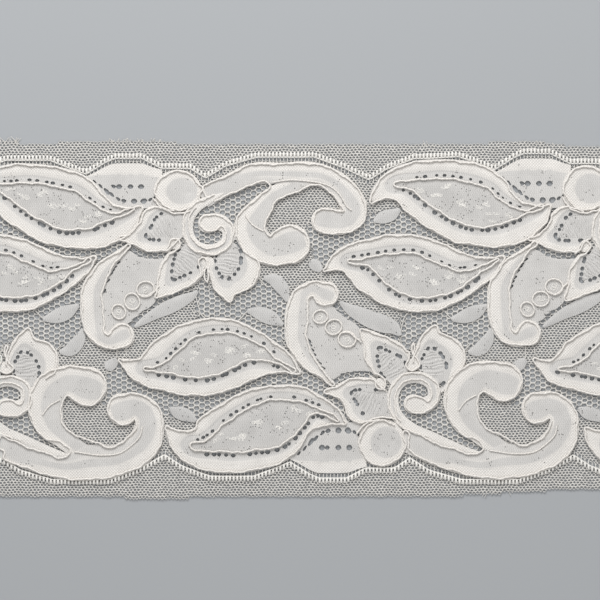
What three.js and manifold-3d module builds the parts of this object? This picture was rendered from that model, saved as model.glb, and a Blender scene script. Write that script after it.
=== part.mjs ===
// A cut length of corded lace trim, lying flat: a net with leaves, flowers and scrolls of close clothwork
// knitted into it, and thick outline cords sewn on top, one length for each motif.
// Millimetres, X along the trim, Y across it, Z up, with the underside on z = 0.
import * as THREE from "three";
import { mergeVertices } from "three/addons/utils/BufferGeometryUtils.js";
import Module from "manifold-3d";

// Driving dimensions
const REPEAT = 147;
const REPEATS = 2;
const LENGTH = REPEAT * REPEATS;
const HALF_LENGTH = LENGTH / 2;
const MIDDLE_LINE = 1.4;
const ROW_SPREAD = 0.6;
const NET_THICK = 1.0;
const CLOTH_RISE = 0.3;
const CLOTH_TOP = NET_THICK + CLOTH_RISE;
const CLOTH_ROOT = 0.5;
const END_MARGIN = 0.5;
const SEAT_GAP = 0.3;
const CORD_WIDE = 0.9;
const CORD_HIGH = 0.8;
const CORD_MIDDLE = CLOTH_TOP + SEAT_GAP + CORD_HIGH / 2;
const CORD_INSET = 0.6;
const CORD_SHORTEST = 7;
const CORD_NARROWEST = 0.7;
const SHARPEST_TURN = 0.52;
const FINE_COUNT = 160;
const RING_FACETS = 8;
const RING_SIDES = 4;

// The share of an outline, on each side of its middle, that goes round a round head
const HEAD_SHARE = 0.08;

// The two cut edges, measured across from the middle line, and how far each one wanders
const UPPER_EDGE = 61.6;
const UPPER_WANDER = 0.9;
const UPPER_WAVE = 31;
const LOWER_EDGE = 65.3;
const LOWER_SKEW = 3.2;
const LOWER_SKEW_FROM = 45;
const LOWER_SKEW_TO = 115;
const EDGE_STEPS = 24;

// Rows of motifs: along shifts a row by part of a repeat, across turns it towards its own edge
const MOTIF_ROWS = [
  { name: "lower", along: 0, across: -1 },
  { name: "upper", along: REPEAT / 2, across: 1 },
];
const COPIES = [-2, -1, 0, 1];

// Bands of clothwork. Each section is [x along the trim, y outwards from the middle line, half the width],
// from the tip or head to the root. A round head is half a circle. steps counts the facets of each side.
const BANDS = {
  leaf_inner: {
    steps: 9,
    sections: [
      [-65.3, 15.2, 0.7], [-62, 17.4, 2.3], [-58, 19, 4.9], [-53.5, 18.7, 7.7], [-49.9, 17.8, 9.8],
      [-44, 16.5, 12.3], [-36, 14.9, 13.9], [-26.5, 12.8, 12.8], [-17.5, 11.5, 10], [-9.7, 13.8, 6.4],
      [-4, 16.3, 3.5], [-0.4, 19, 1.2],
    ],
  },
  leaf_outer: {
    steps: 9,
    sections: [
      [-48.2, 39.6, 0.8], [-45.5, 42.8, 3], [-42, 45.2, 5.2], [-38, 46.2, 7.4], [-32.6, 45.3, 10.2],
      [-22, 42.3, 13.2], [-11, 38.5, 14.2], [-1, 34.5, 10.5], [6.5, 34.4, 6.3], [12.2, 35.9, 3.5],
      [16.2, 38.2, 1.2],
    ],
  },
  sepal: {
    steps: 8,
    round: true,
    sections: [
      [7.6, -8.3, 4.9], [4, -8.8, 4.6], [0.4, -6.3, 4.2], [-1.3, -0.4, 4.5], [-1.1, 8.6, 4], [2.9, 16, 3.1],
      [7.2, 20.2, 1.8], [10.8, 23.8, 1.2],
    ],
  },
  sepal_body: {
    steps: 5,
    sections: [
      [8, -4, 3.6], [9.7, -0.7, 6.5], [12.2, 4.7, 9.7], [14, 10, 11], [15.8, 15.5, 9.7], [16.6, 19.8, 7.2],
      [14.8, 23, 3.2],
    ],
  },
  petal_left: {
    steps: 5,
    sections: [[21.8, 4.6, 0.9], [25, 7.9, 3.4], [28.8, 12.6, 6.6], [32.8, 16.8, 7.4], [36, 23, 4]],
  },
  petal_right: {
    steps: 5,
    sections: [
      [49, 2.9, 0.8], [48, 5.4, 2.9], [48, 8.3, 6.1], [49, 12.6, 8.8], [50, 16.4, 9.4], [48, 24, 5.6],
    ],
  },
  petal_low: {
    steps: 5,
    sections: [
      [8.6, 26, 0.8], [13.3, 27.1, 3.1], [17.6, 28.9, 6.9], [21.2, 30.4, 9.1], [26.2, 29.6, 7.4],
      [33, 31, 4.7],
    ],
  },
  spiral: {
    steps: 12,
    round: true,
    sections: [
      [40.7, 31.4, 3.5], [44.8, 31.8, 3], [48, 29.2, 2.4], [47.4, 24.4, 2.2], [42.6, 21.8, 2.1],
      [36.6, 23, 2.1], [33.6, 27.7, 2.1], [33.8, 33.2, 2.1], [37, 38, 2.1],
    ],
  },
  scroll: {
    steps: 12,
    round: true,
    sections: [
      [85.6, 32.8, 6], [90, 31.4, 4.8], [93.2, 34.3, 4.6], [93.8, 39, 5], [91.6, 45.2, 5.9],
      [84, 51, 5.7], [73, 52.2, 6.4], [64.8, 53.4, 4.8], [50.6, 50, 4.2], [36.7, 43.6, 4.3],
    ],
  },
  scroll_head: {
    steps: 8,
    round: true,
    sections: [
      [73, 23.4, 7.3], [65.5, 21.4, 5.6], [60.8, 24.3, 5.7], [58.7, 30, 5.8], [60.1, 37.6, 5.2],
      [64.4, 42.8, 4.1], [70.2, 47.2, 3.4],
    ],
  },
  dotted_scallop: {
    steps: 5,
    sections: [
      [-4, 53, 0.7], [2, 50.4, 5.2], [8, 49.6, 7.8], [14.4, 49.6, 8], [20, 49.6, 7.2], [22, 50, 5.2],
    ],
  },
  leaflet_long: {
    steps: 5,
    sections: [
      [13.4, -4.8, 0.6], [16.6, -2.4, 2.4], [21.2, 0.2, 3.3], [25.6, 1.9, 3.7], [29.6, 2.8, 3.5],
      [33, 4.6, 2.2], [35.5, 7.4, 0.6],
    ],
  },
  leaflet_high: { steps: 3, sections: [[67.5, -4.2, 0.6], [63, -1.6, 2.6], [59, 0, 2.4], [54.5, 1, 0.7]] },
  leaflet_low: { steps: 3, sections: [[69, 3, 0.6], [67.5, 7, 2.2], [64.5, 10.4, 2.4], [60.5, 11.6, 0.7]] },
  leaflet_small: {
    steps: 3,
    sections: [[-47, 33.2, 0.6], [-44, 34.8, 2.2], [-40.5, 36, 2.2], [-37.5, 38, 0.7]],
  },
  leaf_bud: { steps: 2, round: true, sections: [[-68.4, 17.6, 2], [-67.4, 16.8, 1.9], [-65.8, 15.4, 1]] },
};

// The round disc beside the flower
const DISC = { x: 29.5, y: 45.4, radius: 8.6, steps: 16 };

// The leaf hearts lie inside the leaves, so they carry a cord but no clothwork of their own
const HEARTS = {
  heart_inner: {
    sections: [
      [-56.5, 18.7, 0.8], [-48.6, 18.5, 2.3], [-42.5, 16.9, 5.4], [-35, 14.4, 8.1], [-25.6, 12.1, 7],
      [-16.6, 12.2, 4], [-8.3, 14.9, 1.6], [-4.6, 17, 1.2],
    ],
  },
  heart_outer: {
    sections: [
      [-40, 46.6, 0.8], [-36, 46.8, 1.4], [-31, 45.6, 3.3], [-25.7, 43.8, 5.9], [-19.5, 41.5, 7.6],
      [-9.7, 38.2, 9], [-1, 34.8, 5.6], [5.4, 33.8, 1.8], [10.4, 35.6, 1.2],
    ],
  },
};

// The scalloped comb border: [x along the trim, y outwards]
const BORDER_WIDE = 1.5;
const BORDER = [
  [-48.6, 50.4], [-36, 58], [-16, 58], [-4.7, 52.8], [5.4, 58.4], [17, 58.4], [27, 55.2], [35.3, 55.1],
  [39.6, 51.6], [55.8, 58.8], [82.8, 58.8], [98.4, 50.4],
];

// Cords, in the order in which they are sewn. A path is made of [band, from, to], which go round the band's
// outline: 0 is the root on the first side, one half is the tip or head, 1 is the root on the other side.
// Rings are [x, y, radius]. step is the longest straight stretch.
const CORDS = [
  { name: "leaf_inner_rim_cord", step: 5, path: [["leaf_inner", 0.02, 0.98]] },
  { name: "leaf_inner_heart_cord", step: 5, path: [["heart_inner", 0.02, 0.98]] },
  { name: "leaf_outer_rim_cord", step: 5, path: [["leaf_outer", 0.05, 0.95]] },
  { name: "leaf_outer_heart_cord", step: 5, path: [["heart_outer", 0.02, 0.98]] },
  { name: "sepal_cord", step: 4, path: [["sepal", 0.03, 0.97]] },
  { name: "spiral_cord", step: 4, path: [["spiral", 0.02, 0.98]] },
  {
    name: "scroll_cord",
    step: 4,
    path: [["scroll", 0.97, 0.17], ["scroll_head", 0.93, 0.05], ["scroll", 0.1, 0.01]],
  },
  { name: "petal_pair_cord", step: 4, path: [["petal_left", 0.36, 0.84], ["petal_right", 0.1, 0.97]] },
  { name: "petal_low_cord", step: 4, path: [["petal_low", 0.02, 0.98]] },
  { name: "disc_cord", step: 3.4, rings: [[DISC.x, DISC.y, DISC.radius - CORD_INSET]] },
  {
    name: "ring_chain_cord",
    step: 2,
    rings: [[7.6, -0.2, 2.4], [11.4, 3, 2.4], [15.6, 6.2, 2.4], [20, 8.4, 2.4]],
  },
];

const wasm = await Module();
wasm.setup();

const lace = new THREE.MeshStandardMaterial({ color: 0xe4e0d8, roughness: 0.9, metalness: 0 });
const cord = new THREE.MeshStandardMaterial({ color: 0xf1ede4, roughness: 0.75, metalness: 0 });

// Joining and cutting

function solidOf(geometry) {
  geometry.deleteAttribute("normal");
  geometry.deleteAttribute("uv");
  const merged = mergeVertices(geometry, 1e-4);
  const mesh = new wasm.Mesh({
    numProp: 3,
    vertProperties: merged.attributes.position.array,
    triVerts: new Uint32Array(merged.index.array),
  });
  return new wasm.Manifold(mesh);
}

function geometryOf(solid) {
  const mesh = solid.getMesh();
  const geometry = new THREE.BufferGeometry();
  geometry.setAttribute("position", new THREE.BufferAttribute(mesh.vertProperties, 3));
  geometry.setIndex(new THREE.BufferAttribute(mesh.triVerts, 1));
  geometry.computeVertexNormals();
  return geometry;
}

function plate(points, bottom, top) {
  const shape = new THREE.Shape(points);
  const geometry = new THREE.ExtrudeGeometry(shape, { depth: top - bottom, bevelEnabled: false });
  geometry.translate(0, 0, bottom);
  return solidOf(geometry);
}

// Band outlines

// The spine runs through the sections, and its third coordinate carries half the width.
function spineOf(band) {
  const points = band.sections.map(([x, y, half]) => new THREE.Vector3(x, y, half));
  return new THREE.CatmullRomCurve3(points, false, "centripetal");
}

// The point at s, from 0 to 1, on an outline that runs up one side, round the head and down the other side.
function outlinePoint(band, spine, s, inset) {
  const head = band.round ? HEAD_SHARE : 0;
  const side = s < 0.5 ? 1 : -1;
  const fromHead = Math.abs(s - 0.5);
  const t = Math.max(fromHead - head, 0) / (0.5 - head);
  const middle = spine.getPoint(t);
  const way = spine.getTangent(t).setZ(0).normalize();
  const half = inset > 0 ? Math.max(middle.z - inset, CORD_NARROWEST) : middle.z;
  const swing = fromHead < head ? (1 - fromHead / head) * (Math.PI / 2) : 0;
  const out = side * half * Math.cos(swing);
  const ahead = -half * Math.sin(swing);
  return new THREE.Vector2(middle.x - way.y * out + way.x * ahead, middle.y + way.x * out + way.y * ahead);
}

function outlinePoints(band, from, to, inset, count) {
  const spine = spineOf(band);
  return Array.from({ length: count + 1 }, (_, k) =>
    outlinePoint(band, spine, from + ((to - from) * k) / count, inset));
}

function placed(points, row, copy) {
  return points.map((p) =>
    new THREE.Vector2(p.x + row.along + copy * REPEAT, MIDDLE_LINE + (p.y + ROW_SPREAD) * row.across));
}

// Cords

// A path whose stations are given, so that the stretches can be long where it is straight.
class Stations extends THREE.Curve {
  constructor(points) {
    super();
    this.points = points;
  }

  getPoint(t) {
    const last = this.points.length - 1;
    return this.points[Math.round(t * last)].clone();
  }

  getPointAt(u) {
    return this.getPoint(u);
  }

  getTangentAt(u) {
    const last = this.points.length - 1;
    const k = Math.round(u * last);
    const after = this.points[Math.min(k + 1, last)];
    const before = this.points[Math.max(k - 1, 0)];
    return after.clone().sub(before).normalize();
  }
}

// Keeps the points of a fine path at which it has gone one step or turned enough.
function stations(points, step) {
  const kept = [points[0]];
  let way = points[1].clone().sub(points[0]).angle();
  for (let k = 1; k < points.length - 1; k += 1) {
    const heading = points[k + 1].clone().sub(points[k]).angle();
    const turned = Math.abs(Math.atan2(Math.sin(heading - way), Math.cos(heading - way)));
    if (turned > SHARPEST_TURN || points[k].distanceTo(kept[kept.length - 1]) > step) {
      kept.push(points[k]);
      way = heading;
    }
  }
  kept.push(points[points.length - 1]);
  return kept;
}

// The section of a cord, ridged above and flat below, or with extra room the space that it keeps to itself.
function cordSection(extra) {
  const high = CORD_HIGH / 2 + extra;
  const wide = CORD_WIDE / 2 + extra;
  const ridge = extra > 0 ? [[-high, wide], [-high, -wide]] : [[-high, 0]];
  return new THREE.Shape([[high, -wide], [high, wide], ...ridge].map(([x, y]) => new THREE.Vector2(x, y)));
}

function sewnRun({ path, step }, row, copy, extra) {
  const outline = path.flatMap(([band, from, to]) =>
    outlinePoints(BANDS[band] || HEARTS[band], from, to, CORD_INSET, FINE_COUNT));
  const fine = placed(outline, row, copy);
  const points = stations(fine, step).map((p) => new THREE.Vector3(p.x, p.y, CORD_MIDDLE));
  const extrudePath = new Stations(points);
  const options = { steps: points.length - 1, bevelEnabled: false, extrudePath };
  return solidOf(new THREE.ExtrudeGeometry(cordSection(extra), options));
}

function sewnRing([x, y, radius], step, row, copy, extra) {
  const [centre] = placed([new THREE.Vector2(x, y)], row, copy);
  const around = Math.max(Math.round((2 * Math.PI * radius) / step), RING_FACETS);
  const ring = new THREE.TorusGeometry(radius, CORD_HIGH / 2 + extra, RING_SIDES, around);
  return solidOf(ring.translate(centre.x, centre.y, CORD_MIDDLE));
}

function sewnCord(kind, row, copy, extra) {
  if (kind.path) return sewnRun(kind, row, copy, extra);
  const rings = kind.rings.map((ring) => sewnRing(ring, kind.step, row, copy, extra));
  return rings.reduce((all, one) => all.add(one));
}

// The net and its clothwork

function netOutline() {
  const along = Array.from({ length: EDGE_STEPS + 1 }, (_, k) => -HALF_LENGTH + (LENGTH * k) / EDGE_STEPS);
  const upper = along.map((x) =>
    new THREE.Vector2(x, MIDDLE_LINE + UPPER_EDGE + UPPER_WANDER * Math.sin(x / UPPER_WAVE)));
  const lower = along.map((x) => {
    const skew = LOWER_SKEW * THREE.MathUtils.smoothstep(x, LOWER_SKEW_FROM, LOWER_SKEW_TO);
    return new THREE.Vector2(x, MIDDLE_LINE - LOWER_EDGE + skew);
  });
  return [...lower, ...upper.reverse()];
}

function discOutline() {
  return new THREE.EllipseCurve(DISC.x, DISC.y, DISC.radius, DISC.radius).getPoints(DISC.steps).slice(1);
}

function borderOutline() {
  const inner = BORDER.map(([x, y]) => new THREE.Vector2(x, y - BORDER_WIDE / 2));
  const outer = BORDER.map(([x, y]) => new THREE.Vector2(x, y + BORDER_WIDE / 2));
  return [...inner, ...outer.reverse()];
}

const reach = HALF_LENGTH - END_MARGIN;
const cutLength = solidOf(new THREE.BoxGeometry(2 * reach, LENGTH, LENGTH));

const root = new THREE.Group();

function addMesh(name, solid, material) {
  const mesh = new THREE.Mesh(geometryOf(solid), material);
  mesh.name = name;
  root.add(mesh);
}

const motifs = MOTIF_ROWS.flatMap((row) => COPIES.map((copy) => ({ row, copy })));

let ground = plate(netOutline(), 0, NET_THICK);
for (const { row, copy } of motifs) {
  const cloth = Object.values(BANDS).map((band) =>
    outlinePoints(band, 0, 1, 0, 2 * band.steps + (band.round ? 4 : 0)));
  for (const outline of [...cloth, discOutline(), borderOutline()]) {
    const points = placed(outline, row, copy);
    if (points.some((p) => Math.abs(p.x) < reach)) {
      ground = ground.add(plate(points, CLOTH_ROOT, CLOTH_TOP).intersect(cutLength));
    }
  }
}
addMesh("lace_ground", ground, lace);

// A cord stops short of one that is already sewn, and a scrap at the cut end is left off.
const SMALLEST_CORD = (CORD_SHORTEST * CORD_WIDE * CORD_HIGH) / 2;
const sewn = [];
for (const { row, copy } of motifs) {
  for (const kind of CORDS) {
    const whole = sewnCord(kind, row, copy, 0).intersect(cutLength);
    const free = sewn.reduce((left, other) => left.subtract(other), whole);
    const lengths = free.decompose().filter((body) => body.volume() > SMALLEST_CORD);
    lengths.forEach((body, k) => {
      addMesh(`${row.name}_row_${copy - COPIES[0]}_${kind.name}_${k + 1}`, body, cord);
    });
    if (lengths.length) sewn.push(sewnCord(kind, row, copy, SEAT_GAP));
  }
}

export default root;
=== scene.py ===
# A cut length of corded lace trim, lying flat: close clothwork and two kinds of net, worked out as
# surfaces in millimetres, with the outline cords on top. X runs along the trim, Y across it, Z up from
# the table.
import math
from collections import namedtuple

import bmesh
import bpy
import numpy as np
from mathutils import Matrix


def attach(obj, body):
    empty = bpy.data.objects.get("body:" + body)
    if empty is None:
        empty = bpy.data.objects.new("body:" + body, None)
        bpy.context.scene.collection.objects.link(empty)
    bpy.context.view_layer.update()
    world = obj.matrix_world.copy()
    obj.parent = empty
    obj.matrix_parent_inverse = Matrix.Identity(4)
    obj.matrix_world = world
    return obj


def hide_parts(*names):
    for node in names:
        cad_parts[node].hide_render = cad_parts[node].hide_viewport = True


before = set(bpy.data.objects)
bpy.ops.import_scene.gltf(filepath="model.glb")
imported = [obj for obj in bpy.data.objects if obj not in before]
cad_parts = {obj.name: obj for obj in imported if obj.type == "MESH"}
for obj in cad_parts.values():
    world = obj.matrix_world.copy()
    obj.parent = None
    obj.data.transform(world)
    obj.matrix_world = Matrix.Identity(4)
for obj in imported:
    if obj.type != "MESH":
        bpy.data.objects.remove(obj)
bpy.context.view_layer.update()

MM = 0.001

# Size of the trim, as in its solids: length of a repeat, half the whole length, Y of the line between the
# rows, how far each row is set off from it, shares of an outline that a round head and a root take, how far
# inside an outline its cord runs, and half the least width of a cord's loop
REPEAT = 147.0
HALF_LENGTH = 147.0
MIDDLE_LINE = 1.4
ROW_SPREAD = 0.6
HEAD_SHARE = 0.08
ROOT_SHARE = 0.04
CORD_INSET = 0.6
CORD_NARROWEST = 0.7

# Heights above the table: middle of the net, underside and top of the clothwork, middle of a cord
NET_LEVEL = 0.45
CLOTH_UNDER = 0.5
CLOTH_TOP = 0.95
CORD_LEVEL = 1.55

# How far a root takes to sink under its neighbour, the length of a white end, and how far its white takes
# to come up
SINK_RUN = 7.0
TIP_RIM = 2.4
TIP_RISE = 1.2

# How high cloth arches over its middle
CLOTH_CROWN = 0.22

# The two rows of motifs: X of the first motif, and which way is outwards. Numbers of the motifs along a row
Row = namedtuple("Row", "name along across")
ROWS = (Row("lower", 0.0, -1), Row("upper", REPEAT / 2, 1))
COPIES = (-2, -1, 0, 1)

# How far a motif reaches along the trim, before and after its own place
MOTIF_BEFORE = 72.0
MOTIF_AFTER = 100.0

# Starts of the random draws
CLOTH_SEED = 100
CURL_SEED = 300
CORD_SEED = 500
FRAY_SEED = 7
FINE_NET_SEED = 11
OPEN_NET_SEED = 12

# Bands of clothwork. Each section is x along the trim, y outwards from the middle line and half the
# width, from the tip or head to the root. A round head is half a circle.
Band = namedtuple("Band", "round sections")
BANDS = {
    "leaf_inner": Band(False, [
        (-65.3, 15.2, 0.7), (-62, 17.4, 2.3), (-58, 19, 4.9), (-53.5, 18.7, 7.7), (-49.9, 17.8, 9.8),
        (-44, 16.5, 12.3), (-36, 14.9, 13.9), (-26.5, 13.6, 13.3), (-18, 13.8, 10.2), (-10.8, 14.9, 6.4),
        (-5, 17, 3.9), (-0.6, 19.9, 1.3),
    ]),
    "heart_inner": Band(True, [
        (-55.8, 18.7, 0.9), (-48.6, 18.5, 2.3), (-42.5, 16.9, 5.4), (-35, 14.4, 8.1), (-25.6, 12.1, 7),
        (-16.6, 12.3, 3.8), (-8.3, 16, 1.3), (-5, 17.7, 0.9), (-2.4, 19.2, 0.8),
    ]),
    "leaf_outer": Band(False, [
        (-48.2, 39.6, 0.8), (-45.5, 42.8, 3), (-42, 45.3, 5.3), (-38, 46.5, 7.7), (-32.6, 45.8, 10.7),
        (-22, 42.8, 13.7), (-11, 38.8, 14.5), (-1, 34.5, 10.5), (6.5, 34.4, 6.3), (12.2, 35.9, 3.5),
        (16.2, 38.2, 1.2),
    ]),
    "heart_outer": Band(True, [
        (-38.4, 46.6, 1.9), (-36, 46.8, 2.1), (-31, 45.6, 3.4), (-25.7, 43.8, 5.9), (-19.5, 41.5, 7.6),
        (-9.7, 38.2, 9), (-1, 34.8, 5.6), (5.4, 33.5, 1.6), (9.5, 34.9, 1), (13.6, 37.3, 0.8),
    ]),
    "sepal": Band(True, [
        (9.2, -8.2, 4.8), (4.4, -10.1, 2.9), (0.6, -7.6, 3.4), (-0.9, -2.5, 4.3), (-1.2, 3, 4.4),
        (-1.1, 8.6, 4), (2.9, 16, 3.1), (7.2, 20.2, 1.8), (11.8, 24.2, 1),
    ]),
    "petal_left": Band(False, [
        (21.8, 4.6, 0.9), (25, 7.9, 3.4), (28.8, 12.6, 6.6), (32.8, 16.8, 7.4), (35.2, 21.6, 3.8),
    ]),
    "petal_left_heart": Band(True, [
        (28.8, 12.4, 0.7), (31, 15.3, 2.7), (33.5, 18.5, 4.2), (35.2, 21.4, 3),
    ]),
    "petal_right": Band(False, [
        (49, 2.9, 0.8), (48.2, 5.4, 2.9), (48.2, 8.3, 6.1), (49.4, 12.6, 9.3), (50.1, 16.2, 9.7),
        (49.9, 20.6, 6.2), (50.4, 25, 2.4),
    ]),
    "petal_right_heart": Band(True, [
        (47.2, 12.2, 0.8), (47.5, 14, 2.6), (47.9, 17.2, 4), (48.4, 21.2, 3.6),
    ]),
    "petal_low": Band(False, [
        (8.6, 26.9, 0.9), (10.9, 26.8, 1.5), (13.4, 26.9, 2.5), (16.6, 27.2, 5), (19.5, 28.1, 7),
        (21.7, 29.3, 8.5), (23.6, 30.2, 8.9), (26.4, 31.1, 7.6), (31, 32, 4.6),
    ]),
    "petal_low_heart": Band(True, [
        (19.8, 27.8, 0.8), (22.2, 28.9, 2.4), (25.6, 30.9, 4.4), (29.5, 32, 4.2),
    ]),
    "spiral": Band(True, [
        (40.7, 31.4, 3.5), (44.8, 31.8, 3), (48, 29.2, 2.4), (47.4, 24.4, 2.2), (42.6, 21.8, 2.1),
        (36.6, 23, 2.1), (33.6, 27.7, 2.1), (33.8, 33.2, 2.1), (36.6, 37.6, 2.1), (40.8, 40.3, 1.7),
        (46.2, 43.2, 0.4),
    ]),
    "scroll": Band(True, [
        (85.6, 32.8, 6), (90, 31.6, 4.9), (94.2, 34.3, 5.2), (95, 39.3, 5.4), (92.6, 45.6, 6.1),
        (84, 51, 5.7), (73, 52.2, 6.4), (64.8, 53.4, 4.8), (50.6, 50, 4.2), (36.7, 43.6, 4.3),
    ]),
    "scroll_head": Band(True, [
        (73, 23.4, 7.3), (65.5, 21.4, 5.6), (60.2, 24.2, 6.2), (58, 30.2, 6.5), (60, 37.6, 5.3),
        (64.4, 42, 3.6), (72.5, 48.4, 3.6),
    ]),
    "leaflet_long": Band(False, [
        (14.2, -5.4, 0.5), (17.6, -2.9, 1.8), (21.5, -0.9, 2.7), (25.6, 1.1, 3.1), (29.8, 2.5, 3.2),
        (33.4, 3.9, 2.5), (36.2, 6.8, 0.6),
    ]),
    "leaflet_high": Band(False, [(67.5, -4.2, 0.6), (63, -1.6, 2.6), (59, 0, 2.4), (54.5, 1, 0.7)]),
    "leaflet_low": Band(False, [(69, 4.2, 0.6), (67.5, 8.4, 2.2), (64.5, 11.8, 2.4), (60.5, 12.8, 0.7)]),
    "leaflet_small": Band(False, [
        (-47, 33, 0.6), (-44, 34.4, 2.2), (-40.5, 35.6, 2.2), (-37.5, 37.6, 0.7),
    ]),
    "leaf_bud": Band(True, [(-68.4, 17.6, 2), (-67.4, 16.8, 1.9), (-65.8, 15.4, 1)]),
}

# Bands that lie differently all along a row
ROW_BANDS = {"lower": {
    "spiral_tail": Band(False, [
        (38.6, 39.4, 1.7), (42.4, 40.9, 1.6), (47, 42.7, 1.5), (53.6, 45.6, 1.4), (60.6, 48.2, 1),
        (64.6, 48.9, 0.4),
    ]),
}, "upper": {
    "leaf_outer": Band(False, [
        (-48.2, 39.6, 0.8), (-45.5, 42.8, 3), (-42, 45.3, 5.3), (-38, 46.5, 7.7), (-32.6, 45.8, 10.7),
        (-22, 42.5, 14), (-11, 38.4, 15.2), (-1, 33.7, 11.3), (6.5, 32.9, 7.8), (12.2, 34.8, 4.6),
        (16.2, 38, 1.3),
    ]),
    "heart_outer": Band(True, [
        (-38.6, 46.6, 1.7), (-36, 46.8, 2), (-31, 45.6, 3.4), (-25.7, 43.8, 5.9), (-19.5, 41.3, 7.5),
        (-9.7, 37.6, 8.3), (-3, 35.5, 5.8), (4.4, 35, 2.2), (9.5, 35.9, 1), (13.6, 37.6, 0.8),
    ]),
    "scroll": Band(True, [
        (82.4, 33.4, 4.9), (86.6, 32.9, 4.7), (90.6, 33.3, 4.7), (93.1, 36.2, 4.7), (92.2, 40.4, 4.9),
        (87.9, 47.1, 4.7), (81.1, 51.4, 4.5), (74.6, 52.1, 5), (67.4, 52.4, 4.2), (56.9, 52.2, 4.3),
        (48.3, 48.1, 4.2), (38.2, 42.3, 4.4),
    ]),
    "scroll_head": Band(True, [
        (69.9, 24.8, 7.3), (62.4, 22.8, 5.6), (57.7, 25.7, 5.7), (55.6, 31.4, 5.8), (58.9, 37.6, 4.6),
        (63.7, 43.6, 3.3), (74, 49.4, 3.6),
    ]),
    "leaflet_long": Band(False, [
        (13.9, -5, 0.5), (17, -2.9, 1.3), (21, -0.4, 1.9), (26.5, 2.3, 2.5), (31.5, 4.7, 2.2),
        (34.8, 6.4, 1.4), (36.6, 8, 0.6),
    ]),
}}

# Loops, links and creases of cord that no outline gives: x, y
LINES = {
    "petal_teardrop": [
        (25.2, 21.6), (26.4, 22.5), (27.2, 24.2), (27.9, 25.6), (29.2, 26.1), (30.5, 25.4), (31, 23.8),
        (30, 22), (28.4, 20.6),
    ],
    "spiral_thread": [
        (44.6, 30), (46, 30.6), (47.2, 28.2), (46.6, 25), (44.6, 22.9), (41.6, 22.2), (37.6, 23.6),
        (35.4, 25.4), (34.1, 28.4), (34, 31.8), (34.8, 35), (36.2, 37.6),
    ],
    "petal_loop": [
        (38.9, 12.1), (39.4, 14.3), (38.3, 16.5), (38.6, 18.4), (40.3, 19.4), (42.5, 18.7), (43.3, 17.3),
        (41.9, 15.4), (40.5, 13.2), (40.3, 11), (41.1, 8.8),
    ],
    "throat_loop": [(62.4, 43.6), (65.2, 45.6), (66.2, 47.2), (64.6, 49), (61.7, 49.5), (58, 48.3)],
    "disc_loop": [
        (38.4, 47.6), (38.2, 45.3), (37, 43.6), (36.9, 42), (37.8, 40.8), (39.1, 41.2), (39.6, 42.4),
        (38.9, 44.5), (38.7, 47.4), (40.5, 48.4),
    ],
    "ring_link": [(14.9, 6.2), (17.4, 5.3), (19.4, 6.8), (21.6, 9.4)],
    "scroll_crease": [(92.5, 38.9), (91.6, 42.5), (87.9, 46.3), (84.2, 48.6), (77.3, 49.3), (68.1, 48.1)],
    "scroll_head_crease": [(57, 33.7), (59.6, 30.4), (63.3, 28.2)],
    "rings": [(7.3, 0, 2.5), (12.1, 3.7, 2.8), (16.9, 8.1, 2.95)],
}

# Lines that lie differently all along a row
ROW_LINES = {"lower": {}, "upper": {
    "throat_loop": [(60.6, 44.6), (62.6, 46.2), (63, 47.8), (61.4, 49.3), (58.6, 48.9), (56.2, 47.9)],
    "petal_loop": [
        (37.9, 12.4), (37.9, 14.6), (37.4, 17), (37.6, 18.6), (38.7, 19.4), (39.9, 18.7), (40.3, 17),
        (39.7, 14.6), (39.6, 12.2), (40.6, 9.6),
    ],
    "scroll_crease": [
        (92, 37.2), (90.4, 38.6), (89, 41.4), (87.2, 44.4), (84.3, 47.1), (80.7, 48.6), (75.7, 49.5),
        (69.9, 49.9), (63.8, 49),
    ],
}}

# Where a part lies off its place in the pattern: row, copy or None for all, start of its name, x along,
# y outwards
NUDGES = [
    ("lower", -1, "scroll", -2.2, 0.5), ("lower", -1, "scroll_head", -0.5, 1.2),
    ("lower", -1, "throat", -1.6, 1.2), ("lower", -1, "petal", 0.5, 1.3),
    ("lower", -1, "spiral", 0.5, 1.3), ("lower", 1, "leaf_inner", 2, 0),
    ("lower", 1, "heart_inner", 2, 0), ("lower", 1, "leaf_outer", 3.5, 0),
    ("lower", 1, "heart_outer", 3.5, 0), ("upper", None, "scroll_head_crease", -3.1, 1.4),
    ("upper", -1, "petal_low", 0, -0.8), ("upper", -1, "petal", -0.4, 1),
    ("upper", -1, "spiral", -0.4, 1), ("upper", -1, "ring", 1, 0.6), ("upper", 0, "sepal", -0.6, 1),
    ("upper", 0, "ring", 1, 1.5), ("upper", 0, "leaf_outer", 0, 0.6), ("upper", 0, "heart_outer", 0, 1),
]

# How far the border side of the upper row is drawn in: X along the trim, Y
DRAWN_IN = np.array([(-147, 2.3), (0, 2.4), (36, 1.8), (47, 1.6), (60, 0.8), (80, 0.6), (147, 0.6)])
DRAWN_FROM = 34.0
DRAWN_FULL = 56.0

# The disc beside the flower, and where its sparse middle lies
DISC_CENTRE = np.array((29.5, 45.4))
DISC_RADIUS = 8.6
DISC_MIDDLE = DISC_CENTRE + (4.2, -0.6)

# Cloth that fills a loop of cord: x, y, radius
LOOP_PATCHES = {"petal_loop": (40.8, 17.2, 2.3), "petal_teardrop": (29, 23.9, 1.9)}

# The right-hand edge of the sepal's inner cloth, from its head past the flower to its root: x, y
SEPAL_CLOTH_EDGE = [
    (12.4, -3.9), (15.1, -1), (19.8, 2.5), (21.6, 4.6), (22.8, 12.3), (24.4, 17.3), (26, 19.4),
    (20.4, 19.7), (15.4, 20.7), (12.2, 22.6),
]

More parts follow.
